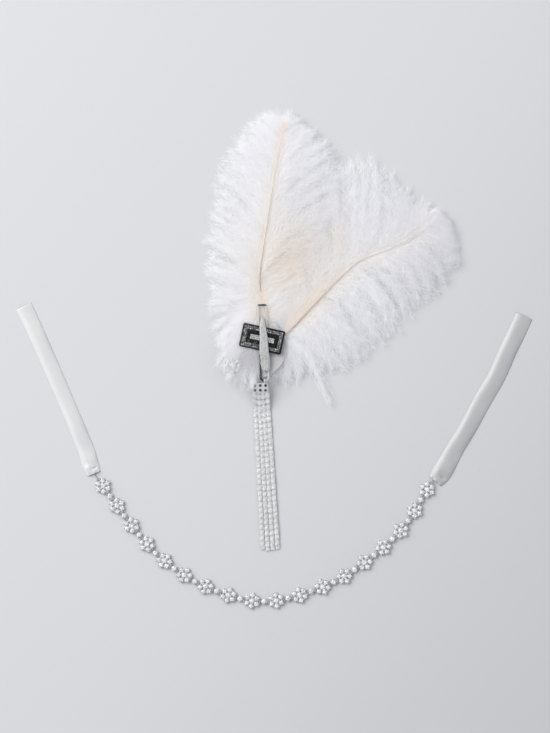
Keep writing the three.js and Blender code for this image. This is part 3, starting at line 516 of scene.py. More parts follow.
flowers = ["flower_%02d" % (i + 1) for i in range(18)]
links = ["link_%02d" % (i + 1) for i in range(17)]
flower_places = np.array([middle_of(name) for name in flowers])
link_places = np.array([middle_of(name) for name in links])
beads = np.empty((35, 3))
beads[::2], beads[1::2] = flower_places, link_places
bead_turn = np.gradient(beads, axis=0)
bead_turn = np.arctan2(bead_turn[:, 1], bead_turn[:, 0])
petal = (np.arange(6) + 0.5) / 6 * 2 * np.pi
petal_turn = (bead_turn[::2, None] + petal).ravel()
petal_places = np.repeat(flower_places, 6, 0) + PETAL_CIRCLE * np.stack(
    [np.cos(petal_turn), np.sin(petal_turn), 0 * petal_turn], 1
)
stone_places = np.vstack([petal_places, flower_places, link_places])
stone_places[:, 2] = GIRDLE_HEIGHT
stone_sizes = np.repeat([PETAL_STONE, CENTRE_STONE, CUP_STONE], [len(petal_places), 18, 17])
stone_turns = np.concatenate([petal_turn, bead_turn[::2], bead_turn[1::2]])
stone_leans = chance.uniform(-0.07, 0.07, (len(stone_places), 2))
stones = copies(brilliant(8), stone_places, stone_sizes, stone_turns, stone_leans)
chain_stones = mesh_piece("chain_stones", *stones, crystal_finish)
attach(chain_stones, "root")

claw_turn = stone_turns[:, None] + np.arange(4) / 4 * 2 * np.pi + np.pi / 4
claw_places = np.stack(
    [
        stone_places[:, :1] + stone_sizes[:, None] * np.cos(claw_turn),
        stone_places[:, 1:2] + stone_sizes[:, None] * np.sin(claw_turn),
        0 * claw_turn + GIRDLE_HEIGHT + CLAW_RISE,
    ],
    -1,
).reshape(-1, 3)
cups = copies(cup, stone_places, stone_sizes, stone_turns)
claws = copies(claw, claw_places, np.full(len(claw_places), CLAW_SIZE), claw_turn.ravel())
for name, metal, finish in [("cups", cups, silver_finish), ("claws", claws, claw_shade_finish)]:
    setting = mesh_piece("chain_" + name, *metal, finish)
    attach(setting, "root")
for node in [*flowers, *links, "end_link_left", "end_link_right"]:
    dress(node, shadowed_finish)

# Hair clip: a plain flat bar of steel behind the felt disc, brushed along its length.
steel_finish, paint = new_finish("brushed_steel")
brush = grain(paint, (2600, 45, 300), 3.0)
steel = {
    "Base Color": brush.colours((0.42, 0.42, 0.43), (0.56, 0.56, 0.57)),
    "Metallic": 1.0,
    "Roughness": 0.24 + brush * 0.2,
    "Normal": bumped(paint, brush, 0.02, 0.5),
}
coat(paint, paint.node("ShaderNodeBsdfPrincipled", {}, steel))
dress("hair_clip", steel_finish)

# Backing disc: a round of thick white felt that hides the quills and carries the buckle. Its
# cut edge is soft, and its face is matted fibre.
DISC_RADIUS = 23.0
DISC_LOW = 6.5
DISC_HIGH = 8.0
felt_finish, paint = new_finish("white_felt")
matted = grain(paint, (900, 900, 900), 5.0, 0.7)
felt = {
    "Base Color": matted.colours((0.48, 0.475, 0.49), (0.57, 0.565, 0.58)),
    "Roughness": 0.95,
    "Sheen Weight": 0.4,
    "Normal": bumped(paint, matted, 0.35, 0.8),
}
coat(paint, paint.node("ShaderNodeBsdfPrincipled", {}, felt))
felt_round = turned(
    [
        (0, DISC_LOW),
        (DISC_RADIUS - 1.0, DISC_LOW),
        (DISC_RADIUS - 0.3, DISC_LOW + 0.15),
        (DISC_RADIUS, DISC_LOW + 0.5),
        (DISC_RADIUS, DISC_HIGH - 0.5),
        (DISC_RADIUS - 0.3, DISC_HIGH - 0.12),
        (DISC_RADIUS - 1.0, DISC_HIGH),
        (0, DISC_HIGH),
    ],
    96,
)
felt_round[0][:, :2] *= 1 + 0.006 * np.sin(np.arctan2(felt_round[0][:, 1:2], felt_round[0][:, :1]) * 9)
disc = tidy(mesh_piece("felt_disc", *felt_round, felt_finish, smooth=True))
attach(disc, "root")
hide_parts("backing_disc")


# Plumes: white ostrich feathers, one upright and one leaning beneath it. From each side of a
# tapering shaft grow long soft barbs, and from each barb a fringe of fine barbules, which
# bend forwards and give the plume its fluff.
SHAFT_RADIUS = 0.55
SHAFT_RISE = 1.7
SHAFT_STEPS = 60
SHAFT_SIDES = 8
BARB_STEPS = 40
STEM_WIDTH = 0.3
BARBULE_WIDTH = 0.13
# In mm, how far a barb falls short of its tip, as a mean and as a spread, and goes aside
TIP_RAG = 3.6
TIP_STRAY = 1.2
# Lowest heights of barbs and barbules in mm, and the barbules' angle in degrees: near the
# shaft, its fall towards the barb's tip, and its spread
BARB_LOW = 0.5
BARBULE_LOW = 0.15
WIDE_ANGLE = 46
ANGLE_FALL = 12
ANGLE_SPREAD = 10


def shaft_frame(rows, shares):
    """Places on the smooth line through a shaft's rows, at shares of its length, and the
    direction along the shaft there."""
    line = smooth_line(rows, 400)
    run = np.concatenate([[0], np.cumsum(np.linalg.norm(np.diff(line, axis=0), axis=1))])
    run /= run[-1]
    step = np.gradient(line, axis=0)
    step /= np.linalg.norm(step, axis=1, keepdims=True)
    at = [np.interp(shares, run, line[:, i]) for i in range(3)]
    way = [np.interp(shares, run, step[:, i]) for i in range(3)]
    return np.stack(at, -1), np.stack(way, -1)


def barb_lines(shaft, tips, count, locks, clump, wave, seed):
    """Lines of barbs, each a cubic curve from the shaft to its tip. It leaves along the
    shaft and bends out to the tip. Barbs of one lock have tips drawn together by clump, and
    wave moves them aside by a sine that grows along the barb."""
    random = np.random.default_rng(seed)
    tips = np.asarray(tips, float)
    evenly = np.linspace(tips[0, 0], tips[-1, 0], count)
    by_rows = np.interp(np.linspace(0, len(tips) - 1, count), np.arange(len(tips)), tips[:, 0])
    share = 0.4 * evenly + 0.6 * by_rows + random.normal(0, 0.004, count)
    share = np.clip(share, min(tips[0, 0], tips[-1, 0]), max(tips[0, 0], tips[-1, 0]))
    order = np.argsort(tips[:, 0])
    marks = np.sort(random.uniform(share.min(), share.max(), locks))
    lock = marks[np.abs(share[:, None] - marks).argmin(1)]
    tip = np.stack([np.interp(share, tips[order, 0], tips[order, i]) for i in (1, 2, 3)], 1)
    together_at = np.stack(
        [np.interp(lock, tips[order, 0], tips[order, i]) for i in (1, 2, 3)], 1
    )
    tip = tip + (together_at - tip) * clump
    root, along = shaft_frame(shaft, share)
    out = tip - root
    reach = np.linalg.norm(out, axis=1, keepdims=True)
    tip = tip + out / reach * random.normal(-TIP_RAG, TIP_RAG, (count, 1))
    tip[:, :2] += random.normal(0, TIP_STRAY, (count, 2))
    tip[:, 2] += random.uniform(-0.6, 2.0, count)
    leave = root + along * reach * random.uniform(0.26, 0.38, (count, 1))
    arrive = leave + (tip - leave) * 0.58
    t = np.linspace(0, 1, BARB_STEPS)[None, :, None]
    root, leave, arrive, tip = (p[:, None] for p in (root, leave, arrive, tip))
    line = (1 - t) ** 3 * root + 3 * (1 - t) ** 2 * t * leave
    line = line + 3 * (1 - t) * t**2 * arrive + t**3 * tip
    aside = np.stack([-out[:, 1], out[:, 0], 0 * out[:, 0]], 1) / reach
    beat = random.uniform(0.6, 1.6, (count, 1, 1)), random.uniform(0, 6.3, (count, 1, 1))
    swing = wave * random.uniform(0.3, 1.2, (count, 1, 1)) * t * np.sin(6.3 * beat[0] * t + beat[1])
    line = line + aside[:, None] * swing
    lift = random.uniform(0.2, 1.6, (count, 1)) * np.sin(np.pi * t[..., 0])
    line[..., 2] += lift
    line[..., 2] = np.maximum(line[..., 2], BARB_LOW)
    return line


def barbules(lines, per_barb, length, width, seed):
    """Thin strips of two steps along each barb. They leave it to either side at a wide angle
    near the shaft and a narrow one near the tip, bend forwards in their second step, and end
    in a point. Each strip faces up with a random lean."""
    random = np.random.default_rng(seed)
    count, steps = lines.shape[:2]
    barb = np.repeat(np.arange(count), per_barb)
    n = len(barb)
    t = 0.03 + 0.97 * random.random(n) ** 1.1
    at = t * (steps - 1)
    i = np.minimum(at.astype(int), steps - 2)
    part = (at - i)[:, None]
    first, last = lines[barb, i], lines[barb, i + 1]
    base = first + (last - first) * part
    way = last - first
    way /= np.linalg.norm(way, axis=1, keepdims=True)
    side = np.stack([-way[:, 1], way[:, 0], 0 * t], 1)
    side /= np.linalg.norm(side, axis=1, keepdims=True)
    hand = np.where(random.random(n) < 0.5, -1.0, 1.0)
    angle = WIDE_ANGLE - ANGLE_FALL * t + random.normal(0, ANGLE_SPREAD, n)
    angle = np.radians(angle) * hand
    bend = angle * random.uniform(0.1, 0.7, n)
    rise = random.normal(0.06, 0.2, n)
    size = length * (0.35 + 0.65 * np.minimum(1, t / 0.3)) * (1 - 0.4 * np.maximum(0, t - 0.7) / 0.3)
    size = (size * random.uniform(0.45, 1.15, n))[:, None]

    def heading(turn, up):
        return way * np.cos(turn)[:, None] + side * np.sin(turn)[:, None] + [0, 0, 1] * up[:, None]

    middle = base + heading(angle, rise) * size * 0.5
    end = middle + heading(bend, rise - 0.15) * size * 0.5
    face = np.array([0, 0, 1.0]) + random.normal(0, 0.45, (n, 3))
    half = np.cross(heading(angle, rise), face)
    half *= width / 2 * (1.1 - 0.5 * t[:, None]) / np.linalg.norm(half, axis=1, keepdims=True)
    places = np.stack([base - half, base + half, middle - half * 0.9, middle + half * 0.9, end], 1)
    places[..., 2] = np.maximum(places[..., 2], BARBULE_LOW)
    strip = np.array([[0, 1, 3], [0, 3, 2], [2, 3, 4]])
    faces = strip[None] + 5 * np.arange(n)[:, None, None]
    return places.reshape(-1, 3), faces.reshape(-1, 3)


def barb_stems(lines, width):
    """Each barb itself: a narrow strip along its line, lying flat and tapering to its tip."""
    count, steps = lines.shape[:2]
    way = np.gradient(lines, axis=1)
    side = np.stack([-way[..., 1], way[..., 0], 0 * way[..., 0]], -1)
    side /= np.linalg.norm(side, axis=-1, keepdims=True)
    half = (width / 2 * (1 - 0.7 * np.linspace(0, 1, steps)))[None, :, None]
    places = np.stack([lines - side * half, lines + side * half], 2)
    quads = grid_faces(steps, 2)
    quads = quads[None] + (np.arange(count) * steps * 2)[:, None, None]
    quads = quads.reshape(-1, 4)
    return places.reshape(-1, 3), np.vstack([quads[:, [0, 1, 2]], quads[:, [0, 2, 3]]])


# x, y and z of the shafts in mm, from the quill outwards
UPRIGHT_SHAFT = [
    (4.6, -10.8, 5.0),
    (5.2, 18.0, 5.0),
    (4.6, 36.0, 6.3),
    (2.8, 52.2, 8.8),
    (5.2, 72.0, 9.8),
    (12.4, 118.8, 9.0),
    (17.8, 149.4, 6.2),
    (22.0, 166.0, 3.4),
]
LEANING_SHAFT = [
    (8.0, -1.0, 5.0),
    (26.2, 14.0, 5.0),
    (58.5, 48.2, 4.0),
    (77.4, 64.9, 3.8),
    (101.5, 74.6, 3.6),
    (115.0, 82.4, 3.2),
    (123.5, 91.2, 2.9),
    (131.0, 101.0, 2.5),
]
# Share of the shaft where the barbs leave, and x, y and z of their tips in mm
UPRIGHT_LEFT = [
    (0.13, -7.0, -22.0, 9.6),
    (0.14, -15.0, -20.0, 9.6),
    (0.15, -23.0, -16.0, 9.4),
    (0.16, -28.0, -7.0, 9.0),
    (0.18, -31.0, 10.0, 5.0),
    (0.21, -33.5, 32.0, 2.0),
    (0.26, -35.0, 56.0, 1.6),
    (0.32, -35.0, 82.0, 1.6),
    (0.40, -32.0, 106.0, 1.8),
    (0.50, -26.5, 127.0, 2.0),
    (0.60, -20.5, 144.0, 2.0),
    (0.72, -14.0, 155.5, 2.0),
    (0.83, -4.0, 165.5, 2.0),
    (0.93, 4.5, 172.0, 2.0),
    (0.98, 14.0, 174.0, 2.4),
]
# Down at the foot of the upright plume, which falls over the disc's left side
UPRIGHT_DOWN = [
    (0.13, 1.0, -29.0, 9.4),
    (0.14, -5.0, -30.0, 9.6),
    (0.15, -11.0, -29.0, 9.8),
    (0.16, -18.0, -27.0, 10.2),
    (0.17, -24.5, -20.0, 10.0),
    (0.18, -27.0, -10.0, 9.4),
    (0.19, -28.0, 0.0, 9.0),
    (0.21, -29.0, 9.0, 7.0),
]
UPRIGHT_RIGHT = [
    (0.13, 15.0, 16.0, 6.0),
    (0.15, 24.0, 32.0, 5.4),
    (0.18, 34.0, 50.0, 5.0),
    (0.23, 45.0, 68.0, 4.8),
    (0.30, 56.0, 88.0, 4.6),
    (0.38, 63.0, 108.0, 4.4),
    (0.47, 65.0, 127.0, 4.2),
    (0.57, 60.0, 142.0, 4.0),
    (0.68, 52.0, 153.5, 4.0),
    (0.79, 42.5, 163.0, 3.8),
    (0.90, 34.0, 168.5, 3.6),
    (0.98, 24.0, 171.0, 3.4),
]
LEANING_LEFT = [
    (0.06, 12.0, 38.0, 3.4),
    (0.11, 20.0, 66.0, 3.4),
    (0.17, 32.0, 92.0, 3.4),
    (0.23, 44.0, 112.0, 3.2),
    (0.31, 57.0, 131.0, 3.0),
    (0.41, 71.0, 143.0, 2.6),
    (0.53, 88.0, 139.5, 2.4),
    (0.66, 104.5, 125.0, 2.0),
    (0.78, 121.0, 108.5, 1.8),
    (0.90, 134.0, 98.5, 1.8),
    (0.99, 141.0, 91.0, 1.8),
]
LEANING_RIGHT = [
    (0.02, 9.0, -31.0, 1.4),
    (0.03, 16.0, -31.0, 1.4),
    (0.05, 26.0, -26.0, 1.4),
    (0.09, 40.0, -20.0, 1.4),
    (0.13, 51.0, -20.0, 1.4),
    (0.17, 61.0, -16.0, 1.4),
    (0.23, 72.0, -10.0, 1.4),
    (0.31, 84.0, -2.0, 1.4),
    (0.40, 97.0, 8.0, 1.4),
    (0.50, 110.0, 20.0, 1.6),
    (0.60, 123.0, 32.5, 1.6),
    (0.70, 135.5, 44.5, 1.6),
    (0.80, 147.0, 57.5, 1.6),
    (0.90, 154.0, 72.5, 1.4),
    (0.99, 146.0, 84.0, 1.6),
]
# A loose lock that has strayed from the leaning plume's lower edge
LEANING_STRAY = [
    (0.04, 58.0, -44.0, 1.2),
    (0.07, 62.0, -44.5, 1.2),
]

plume_finish, paint = new_finish("ostrich_barbs")
warm = paint.node("ShaderNodeAttribute", {"attribute_name": "warm"}, out=2)
streak = grain(paint, (260, 260, 260), 3.0)
white = streak.colours((0.93, 0.93, 0.95), (0.99, 0.99, 0.995))
# The grey attribute is partly a random grey from barb to barb and partly painted shade, to the right, the
# lower right and round the disc's lower left.
grey = paint.node("ShaderNodeAttribute", {"attribute_name": "grey"}, out=2)
barb_tone = warm.colours(grey.colours(white, (0.80, 0.795, 0.825)), (0.96, 0.86, 0.74))
barb_face = {"Base Color": barb_tone, "Roughness": 0.9, "Specular IOR Level": 0.2}
# Painted light: the barbs glow faintly in their own colour, standing in for light scattered among them.
barb_face.update({"Emission Color": barb_tone, "Emission Strength": 0.078})
barb_face = paint.node("ShaderNodeBsdfPrincipled", {}, barb_face)
barb_glow = paint.node("ShaderNodeBsdfTranslucent", {}, {0: barb_tone})
coat(paint, paint.node("ShaderNodeMixShader", {}, {0: 0.5, 1: barb_face, 2: barb_glow}))

shaft_finish, paint = new_finish("feather_shaft")
pale = paint.node("ShaderNodeAttribute", {"attribute_name": "pale"}, out=2)
shaft_tone = pale.between(0.15, 1.0).colours((0.52, 0.41, 0.33), (0.78, 0.72, 0.64))
shaft_face = {"Base Color": shaft_tone, "Roughness": 0.4, "Coat Weight": 0.2}
coat(paint, paint.node("ShaderNodeBsdfPrincipled", {}, shaft_face))


def warmth(places):
    """How cream the barbs are, as bell curves of the distance: along the shafts, in the
    hollow between them, in a stripe at the upright plume's tip, and beside the leaning shaft.
    Each fades out along the plume, and nothing below the buckle is cream."""
    x, y = places[:, 0], places[:, 1]

    def off(rows):
        line = smooth_line(rows, 60)[:, :2]
        return ((places[:, None, :2] - line[None]) ** 2).sum(-1).min(1)

    upright, leaning = off(UPRIGHT_SHAFT), off(LEANING_SHAFT)
    beside = off([(row[0] - 3.2, row[1] + 3.2) for row in LEANING_SHAFT[1:5]])
    tints = [
        0.34 * np.exp(-upright / 90) * np.clip(1.25 - y / 130, 0, 1),
        0.32 * np.exp(-upright / 10) * np.clip((y - 50) / 40, 0, 1),
        0.30 * np.exp(-leaning / 70) * np.clip(1.25 - y / 90, 0, 1),
        0.40 * np.exp(-beside / 22) * np.clip((84 - x) / 40, 0, 1),
        0.34 * np.exp(-(((x - 24) / 28) ** 2) - ((y - 66) / 30) ** 2),
        0.22 * np.exp(-(((x - 60) / 12) ** 2) - ((y - 80) / 16) ** 2),
    ]
    return np.maximum.reduce(tints) * np.clip((y - 6) / 16, 0, 1)


def greyness_and_painted_shade(places, per_barb, seed):
    """How grey the barbs are: a little by chance from barb to barb, and painted shade that grows towards
    the right and the lower right and is strongest round the disc's lower left, as a bell curve."""
    x, y = places[:, 0], places[:, 1]
    by_chance = np.random.default_rng(seed).random(per_barb.max() + 1) ** 2
    rightward = np.clip((x - 85) / 75, 0, 1)
    low_right = np.clip((x - y - 45) / 60, 0, 1)
    foot = np.exp(-(((x + 3) / 12) ** 2) - ((y + 10) / 11) ** 2)
    return np.clip(0.3 * by_chance[per_barb] + 0.3 * rightward + 0.25 * low_right + foot, 0, 1)


def shaft_piece(name, rows, bare_from):
    """A round rod along the shaft's line, thinning evenly to its tip, closed at both ends.
    It lies under the fluff up to y bare_from, and rises out of it in the next 8 mm."""
    share = np.linspace(0, 1, SHAFT_STEPS)
    line, way = shaft_frame(rows, share)
    line[:, 2] += SHAFT_RISE * np.clip((line[:, 1] - bare_from) / 8, 0, 1)
    side = np.stack([way[:, 1], -way[:, 0], 0 * share], 1)
    side /= np.linalg.norm(side, axis=1, keepdims=True)
    up = np.cross(side, way)
    turn = np.arange(SHAFT_SIDES) / SHAFT_SIDES * 2 * np.pi
    radius = (SHAFT_RADIUS * (1 - 0.8 * share) * (share > 0) * (share < 1))[:, None, None]
    ring = side[:, None] * np.cos(turn)[:, None] + up[:, None] * np.sin(turn)[:, None]
    places = (line[:, None] + ring * radius).reshape(-1, 3)
    faces = grid_faces(SHAFT_STEPS, SHAFT_SIDES, closed=True)
    pale = {"pale": np.repeat(share, SHAFT_SIDES)}
    return mesh_piece(name, places, faces, shaft_finish, True, pale)


# For each plume its shaft, the y in mm from which the shaft shows, and its sides: name, tips,
# barbs, locks, clump, wave in mm, barbules a barb, their length in mm, and seed
PLUMES = [
    (
        "plume_leaning",
        LEANING_SHAFT,
        -4.0,
        [
            ("left", LEANING_LEFT, 230, 70, 0.0, 2.4, 240, 9.0, 31),
            ("right", LEANING_RIGHT, 220, 44, 0.12, 3.4, 245, 9.0, 32),
            ("stray", LEANING_STRAY, 12, 2, 0.8, 2.5, 130, 5.0, 37),
        ],
    ),
    (
        "plume_upright",
        UPRIGHT_SHAFT,
        42.0,
        [
            ("left", UPRIGHT_LEFT, 240, 60, 0.0, 1.8, 235, 8.5, 33),
            ("right", UPRIGHT_RIGHT, 240, 60, 0.0, 2.6, 235, 9.0, 34),
            ("down", UPRIGHT_DOWN, 105, 26, 0.1, 2.6, 200, 8.0, 38),
        ],
    ),
]
for plume, shaft, bare_from, sides in PLUMES:
    rod = tidy(shaft_piece(plume + "_shaft", shaft, bare_from))
    parts = [rod]
    for side, tips, count, locks, clump, wave, per_barb, length, seed in sides:
        lines = barb_lines(shaft, tips, count, locks, clump, wave, seed)
        fringe = barbules(lines, per_barb, length, BARBULE_WIDTH, seed + 10)
        fluff = together(barb_stems(lines, STEM_WIDTH), fringe)
        stem_barbs = np.repeat(np.arange(count), lines.shape[1] * 2)
        barb = np.concatenate([stem_barbs, np.repeat(np.arange(count), per_barb * 5)])
        tint = {"warm": warmth(fluff[0]), "grey": greyness_and_painted_shade(fluff[0], barb, seed)}
        parts.append(mesh_piece(plume + "_" + side, *fluff, plume_finish, False, tint))
    for part in parts:
        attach(part, "root")
        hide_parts(plume)

# Buckle: an oblong slide of black enamel with a raised rim, turned a little on the disc. Rows
# of small crystals are set in a border round its face, and three rows in a bar across it.
BUCKLE_CENTRE = (4.7, 6.8)
BUCKLE_TURN = np.radians(-12)
PAVE_HEIGHT = 11.5
PAVE_STONE = 0.6
PAVE_SPACING = 1.27
# Length and width of the border's rows, and the places of the bar's stones, in mm
BORDER_OUTER = (28.0, 14.0)
BORDER_INNER = (25.5, 11.5)
BAR_X = np.linspace(-8.5, 8.5, 15)
BAR_Y = [-1.22, 0, 1.22]
enamel_finish, paint = new_finish("black_enamel")
orange_peel = grain(paint, (500, 500, 500))
enamel = {
    "Base Color": orange_peel.colours((0.006, 0.006, 0.007), (0.014, 0.014, 0.016)),
    "Roughness": 0.3 + orange_peel * 0.15,
    "Specular IOR Level": 0.2,
    "Normal": bumped(paint, orange_peel, 0.05, 0.3),
}
coat(paint, paint.node("ShaderNodeBsdfPrincipled", {}, enamel))
dress("buckle_plate", enamel_finish)

dark_finish = plated("dark_silver", (0.05, 0.05, 0.055), (0.28, 0.28, 0.29), 1.0)
smoke_tones = (0.03, 0.03, 0.033), (0.20, 0.20, 0.21), (0.62, 0.62, 0.63)
smoke_finish = cut_crystal("smoke_crystal", *smoke_tones)
dress("buckle_border", dark_finish)
dress("buckle_bar", dark_finish)


def rows_round(length, width, spacing):
    """Places evenly spaced along a rectangle's four sides."""
    across, up = round(length / spacing), round(width / spacing)
    x = np.linspace(-length / 2, length / 2, across + 1)
    y = np.linspace(-width / 2, width / 2, up + 1)
    low = np.stack([x[:-1], 0 * x[:-1] - width / 2], 1)
    high = np.stack([x[1:], 0 * x[1:] + width / 2], 1)
    left = np.stack([0 * y[1:] - length / 2, y[1:]], 1)
    right = np.stack([0 * y[:-1] + length / 2, y[:-1]], 1)
    return np.vstack([low, high, left, right])


def on_buckle(places):
    """Places on the buckle's face, turned and moved to where the buckle lies."""
    c, s = np.cos(BUCKLE_TURN), np.sin(BUCKLE_TURN)
    x = places[:, 0] * c - places[:, 1] * s + BUCKLE_CENTRE[0]
    y = places[:, 0] * s + places[:, 1] * c + BUCKLE_CENTRE[1]
    return np.column_stack([x, y, np.full(len(places), PAVE_HEIGHT)])


bar_x, bar_y = np.meshgrid(BAR_X, BAR_Y)
bar_rows = np.stack([bar_x.ravel(), bar_y.ravel()], 1)
border_rows = np.vstack([rows_round(*size, PAVE_SPACING) for size in (BORDER_OUTER, BORDER_INNER)])
for name, rows, finish in [("border", border_rows, smoke_finish), ("bar", bar_rows, soft_finish)]:
    n = len(rows)
    leans = chance.uniform(-0.25, 0.25, (n, 2))
    turns = chance.uniform(0, 6, n)
    pave_stones = copies(brilliant(6), on_buckle(rows), np.full(n, PAVE_STONE), turns, leans)
    pave = mesh_piece("buckle_%s_stones" % name, *pave_stones, finish)
    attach(pave, "root")

# Tassel loop: a long ring of silver wire behind the buckle, black at its top and down the left leg below
# the buckle: from y 31 mm up, and from y -2 mm down left of x 6 mm.
loop_finish, paint = new_finish("loop_black_at_top_and_leg")
place = paint.node("ShaderNodeTexCoord", out=3)
across_loop = paint.node("ShaderNodeSeparateXYZ", {}, {0: place}, out=0)
up_loop = paint.node("ShaderNodeSeparateXYZ", {}, {0: place}, out=1)
black_top = up_loop.between(0.0309, 0.0318)
black_leg = up_loop.between(-0.002, -0.006) * across_loop.between(0.0066, 0.005)
loop_tone = (black_top + black_leg).colours((0.74, 0.74, 0.75), (0.02, 0.02, 0.022))
wear = grain(paint, (900, 900, 900))
loop = {"Base Color": loop_tone, "Metallic": 0.5, "Roughness": 0.2 + wear * 0.2}
coat(paint, paint.node("ShaderNodeBsdfPrincipled", {}, loop))
dress("tassel_loop", loop_finish)

# Satin fold: a spear of ribbon whose point comes out of the loop's top. It is drawn over the
# buckle's middle, and falls to the disc's lower edge.
# Along y, middle x, width and height of the cloth's upper face, in mm
FOLD_ROWS = [
    (24.0, 4.5, 0.5, 11.2),
    (20.0, 4.8, 2.8, 11.6),
    (16.2, 5.1, 4.5, 12.6),
    (6.8, 5.7, 5.9, 12.9),
    (-3.9, 6.4, 7.0, 12.8),
    (-8.4, 6.9, 7.1, 11.8),
    (-12.1, 7.2, 6.9, 11.1),
    (-17.0, 7.6, 5.2, 10.9),
]
FOLD_STEPS = 60
FOLD_ACROSS = 13
FOLD_WALL = 0.5
FOLD_SWAY = 0.15
FOLD_CROWN = 0.35
FOLD_CREASE = 0.18
# Along the rows, share goes from 0 to 1, and across them w goes from -1 to 1. The middle line
# sways by a sine, and the height is a parabola less creases that deepen towards the foot.
fold_line = smooth_line(FOLD_ROWS, FOLD_STEPS)
w = np.linspace(-1, 1, FOLD_ACROSS)[None, :]
share = np.linspace(0, 1, FOLD_STEPS)[:, None]
creases = FOLD_CREASE * np.cos(w * 9 + share * 5) * share
fold_top = np.zeros((FOLD_STEPS, FOLD_ACROSS, 3))
fold_top[..., 0] = fold_line[:, 1:2] + w * fold_line[:, 2:3] / 2 + FOLD_SWAY * np.sin(share * 19)
fold_top[..., 1] = fold_line[:, 0:1]
fold_top[..., 2] = fold_line[:, 3:4] + FOLD_CROWN * (1 - w**2) - creases

fold_finish, paint = new_finish("flecked_satin")
flecks = grain(paint, (800, 800, 800), 3.0, 0.7)
fleck_tone = flecks.between(0.34, 0.60).colours((0.35, 0.35, 0.355), (0.50, 0.50, 0.508))
fold_face = {"Base Color": fleck_tone, "Roughness": 0.35, "Sheen Weight": 0.2}
fold_face["Normal"] = bumped(paint, flecks, 0.08, 0.5)
coat(paint, paint.node("ShaderNodeBsdfPrincipled", {}, fold_face))
fold = lay_satin("satin_spear", fold_top, FOLD_WALL, fold_finish)
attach(fold, "root")
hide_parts("satin_fold")

# Crystal button: a round silver plate with a crystal in the middle and eight round it, each
# in its own cup, sewn to the disc's lower left edge.
BUTTON_CENTRE = (-17.3, -13.5)
BUTTON_GIRDLE = 9.95
BUTTON_CIRCLE = 4.6
MIDDLE_STONE = 2.46
RIM_STONE = 1.66
dress("crystal_button", shadowed_finish)
rim_turn = np.arange(8) / 8 * 2 * np.pi
rim_places = BUTTON_CIRCLE * np.stack([np.cos(rim_turn), np.sin(rim_turn)], 1)
button_places = np.array([[0.0, 0.0], *rim_places]) + BUTTON_CENTRE
button_places = np.column_stack([button_places, np.full(9, BUTTON_GIRDLE)])
button_sizes = np.array([MIDDLE_STONE, *[RIM_STONE] * 8])
button_turns = np.array([0, *rim_turn])
button_leans = chance.uniform(-0.1, 0.1, (9, 2))
button_shape = copies(brilliant(8), button_places, button_sizes, button_turns, button_leans)
button_stones = mesh_piece("button_stones", *button_shape, soft_finish)
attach(button_stones, "root")
button_rims = copies(cup, button_places, button_sizes, button_turns)
button_cups = mesh_piece("button_cups", *button_rims, silver_finish)
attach(button_cups, "root")

# Tassel: four strands of cup chain, round crystals in silver cups joined by short bars, which
# hang from a pierced head of soldered rings. The head's bail goes round the loop's end.
TASSEL_TOP = (3.3, -26.2)
TASSEL_DRIFT = 7.2
TASSEL_LENGTH = 122.0
STRAND_SPACING = 3.1
STRAND_SPREAD = 0.6
STRAND_PITCH = 4.2
STRAND_STONES = 28
STRAND_ASIDE = [-1.5, -0.5, 0.5, 1.5]
# By how much of the tassel's length each strand ends short of it
STRAND_SHORT = [0.006, 0.0, 0.003, 0.010]
LOW_CUP_SIZE = 1.78
HIGH_CUP_SIZE = 1.5
STONE_SHARE = 0.88
BAR_STRETCH = [6.5, 1.7, 0.8]
BAR_SIZE = 0.9
RING_WIRE = 0.26
# Head plate: slope, half its length and width, how square its corners are, and height
HEAD_SLOPE = 0.42
HEAD_HALF = [5.9, 3.7]
HEAD_CORNER = 0.35
HEAD_HEIGHT = 8.75
HEAD_RING = 1.42
HEAD_HOLE = 1.1
RING_HEIGHT = 9.45
BAIL_RADIUS = 1.55
BAIL_PLACE = (6.6, TASSEL_TOP[1] + 1.55, 8.85)
# Share of the length and height of a strand's middle, in mm
TASSEL_DROP = np.array(
    [(0, 8.9), (0.058, 6.0), (0.11, 3.1), (0.16, 1.3), (0.22, 1.15), (0.6, 1.15), (1, 1.15)]
)


def strand_places(place, share):
    """Places on a strand: aside by its place times a spacing that widens from 3.1 to 3.7 mm,
    drifting 7.2 mm to the right on the way down, at the height of the drop."""
    spacing = STRAND_SPACING + STRAND_SPREAD * share
    x = TASSEL_TOP[0] + place * spacing + TASSEL_DRIFT * share
    y = TASSEL_TOP[1] - TASSEL_LENGTH * share
    drop = smooth_line(TASSEL_DROP, 200)
    return np.stack([x, y, np.interp(share, drop[:, 0], drop[:, 1])], -1)


chain_places, chain_slopes = [], []
for place, short in zip(STRAND_ASIDE, STRAND_SHORT):
    share = 1 - short - np.arange(STRAND_STONES)[::-1] * STRAND_PITCH / TASSEL_LENGTH
    ahead = strand_places(place, share + 0.004) - strand_places(place, share - 0.004)
    chain_places.append(strand_places(place, share))
    chain_slopes.append(ahead[:, 2] / ahead[:, 1])
chain_places = np.vstack(chain_places)
chain_slopes = np.concatenate(chain_slopes)
number = len(chain_places)
chain_leans = chance.uniform(-0.12, 0.12, (number, 2))
chain_leans[:, 1] += chain_slopes
wobble = chance.uniform(-0.12, 0.12, number)
low_cup = turned(
    [(0, -0.4), (0.9, -0.4), (1.03, -0.1), (1.05, 0.04), (0.93, 0.07), (0.88, 0.0), (0, 0.0)], 12
)
flat_stone = brilliant(6)
flat_stone[0][:, 2] *= 0.55
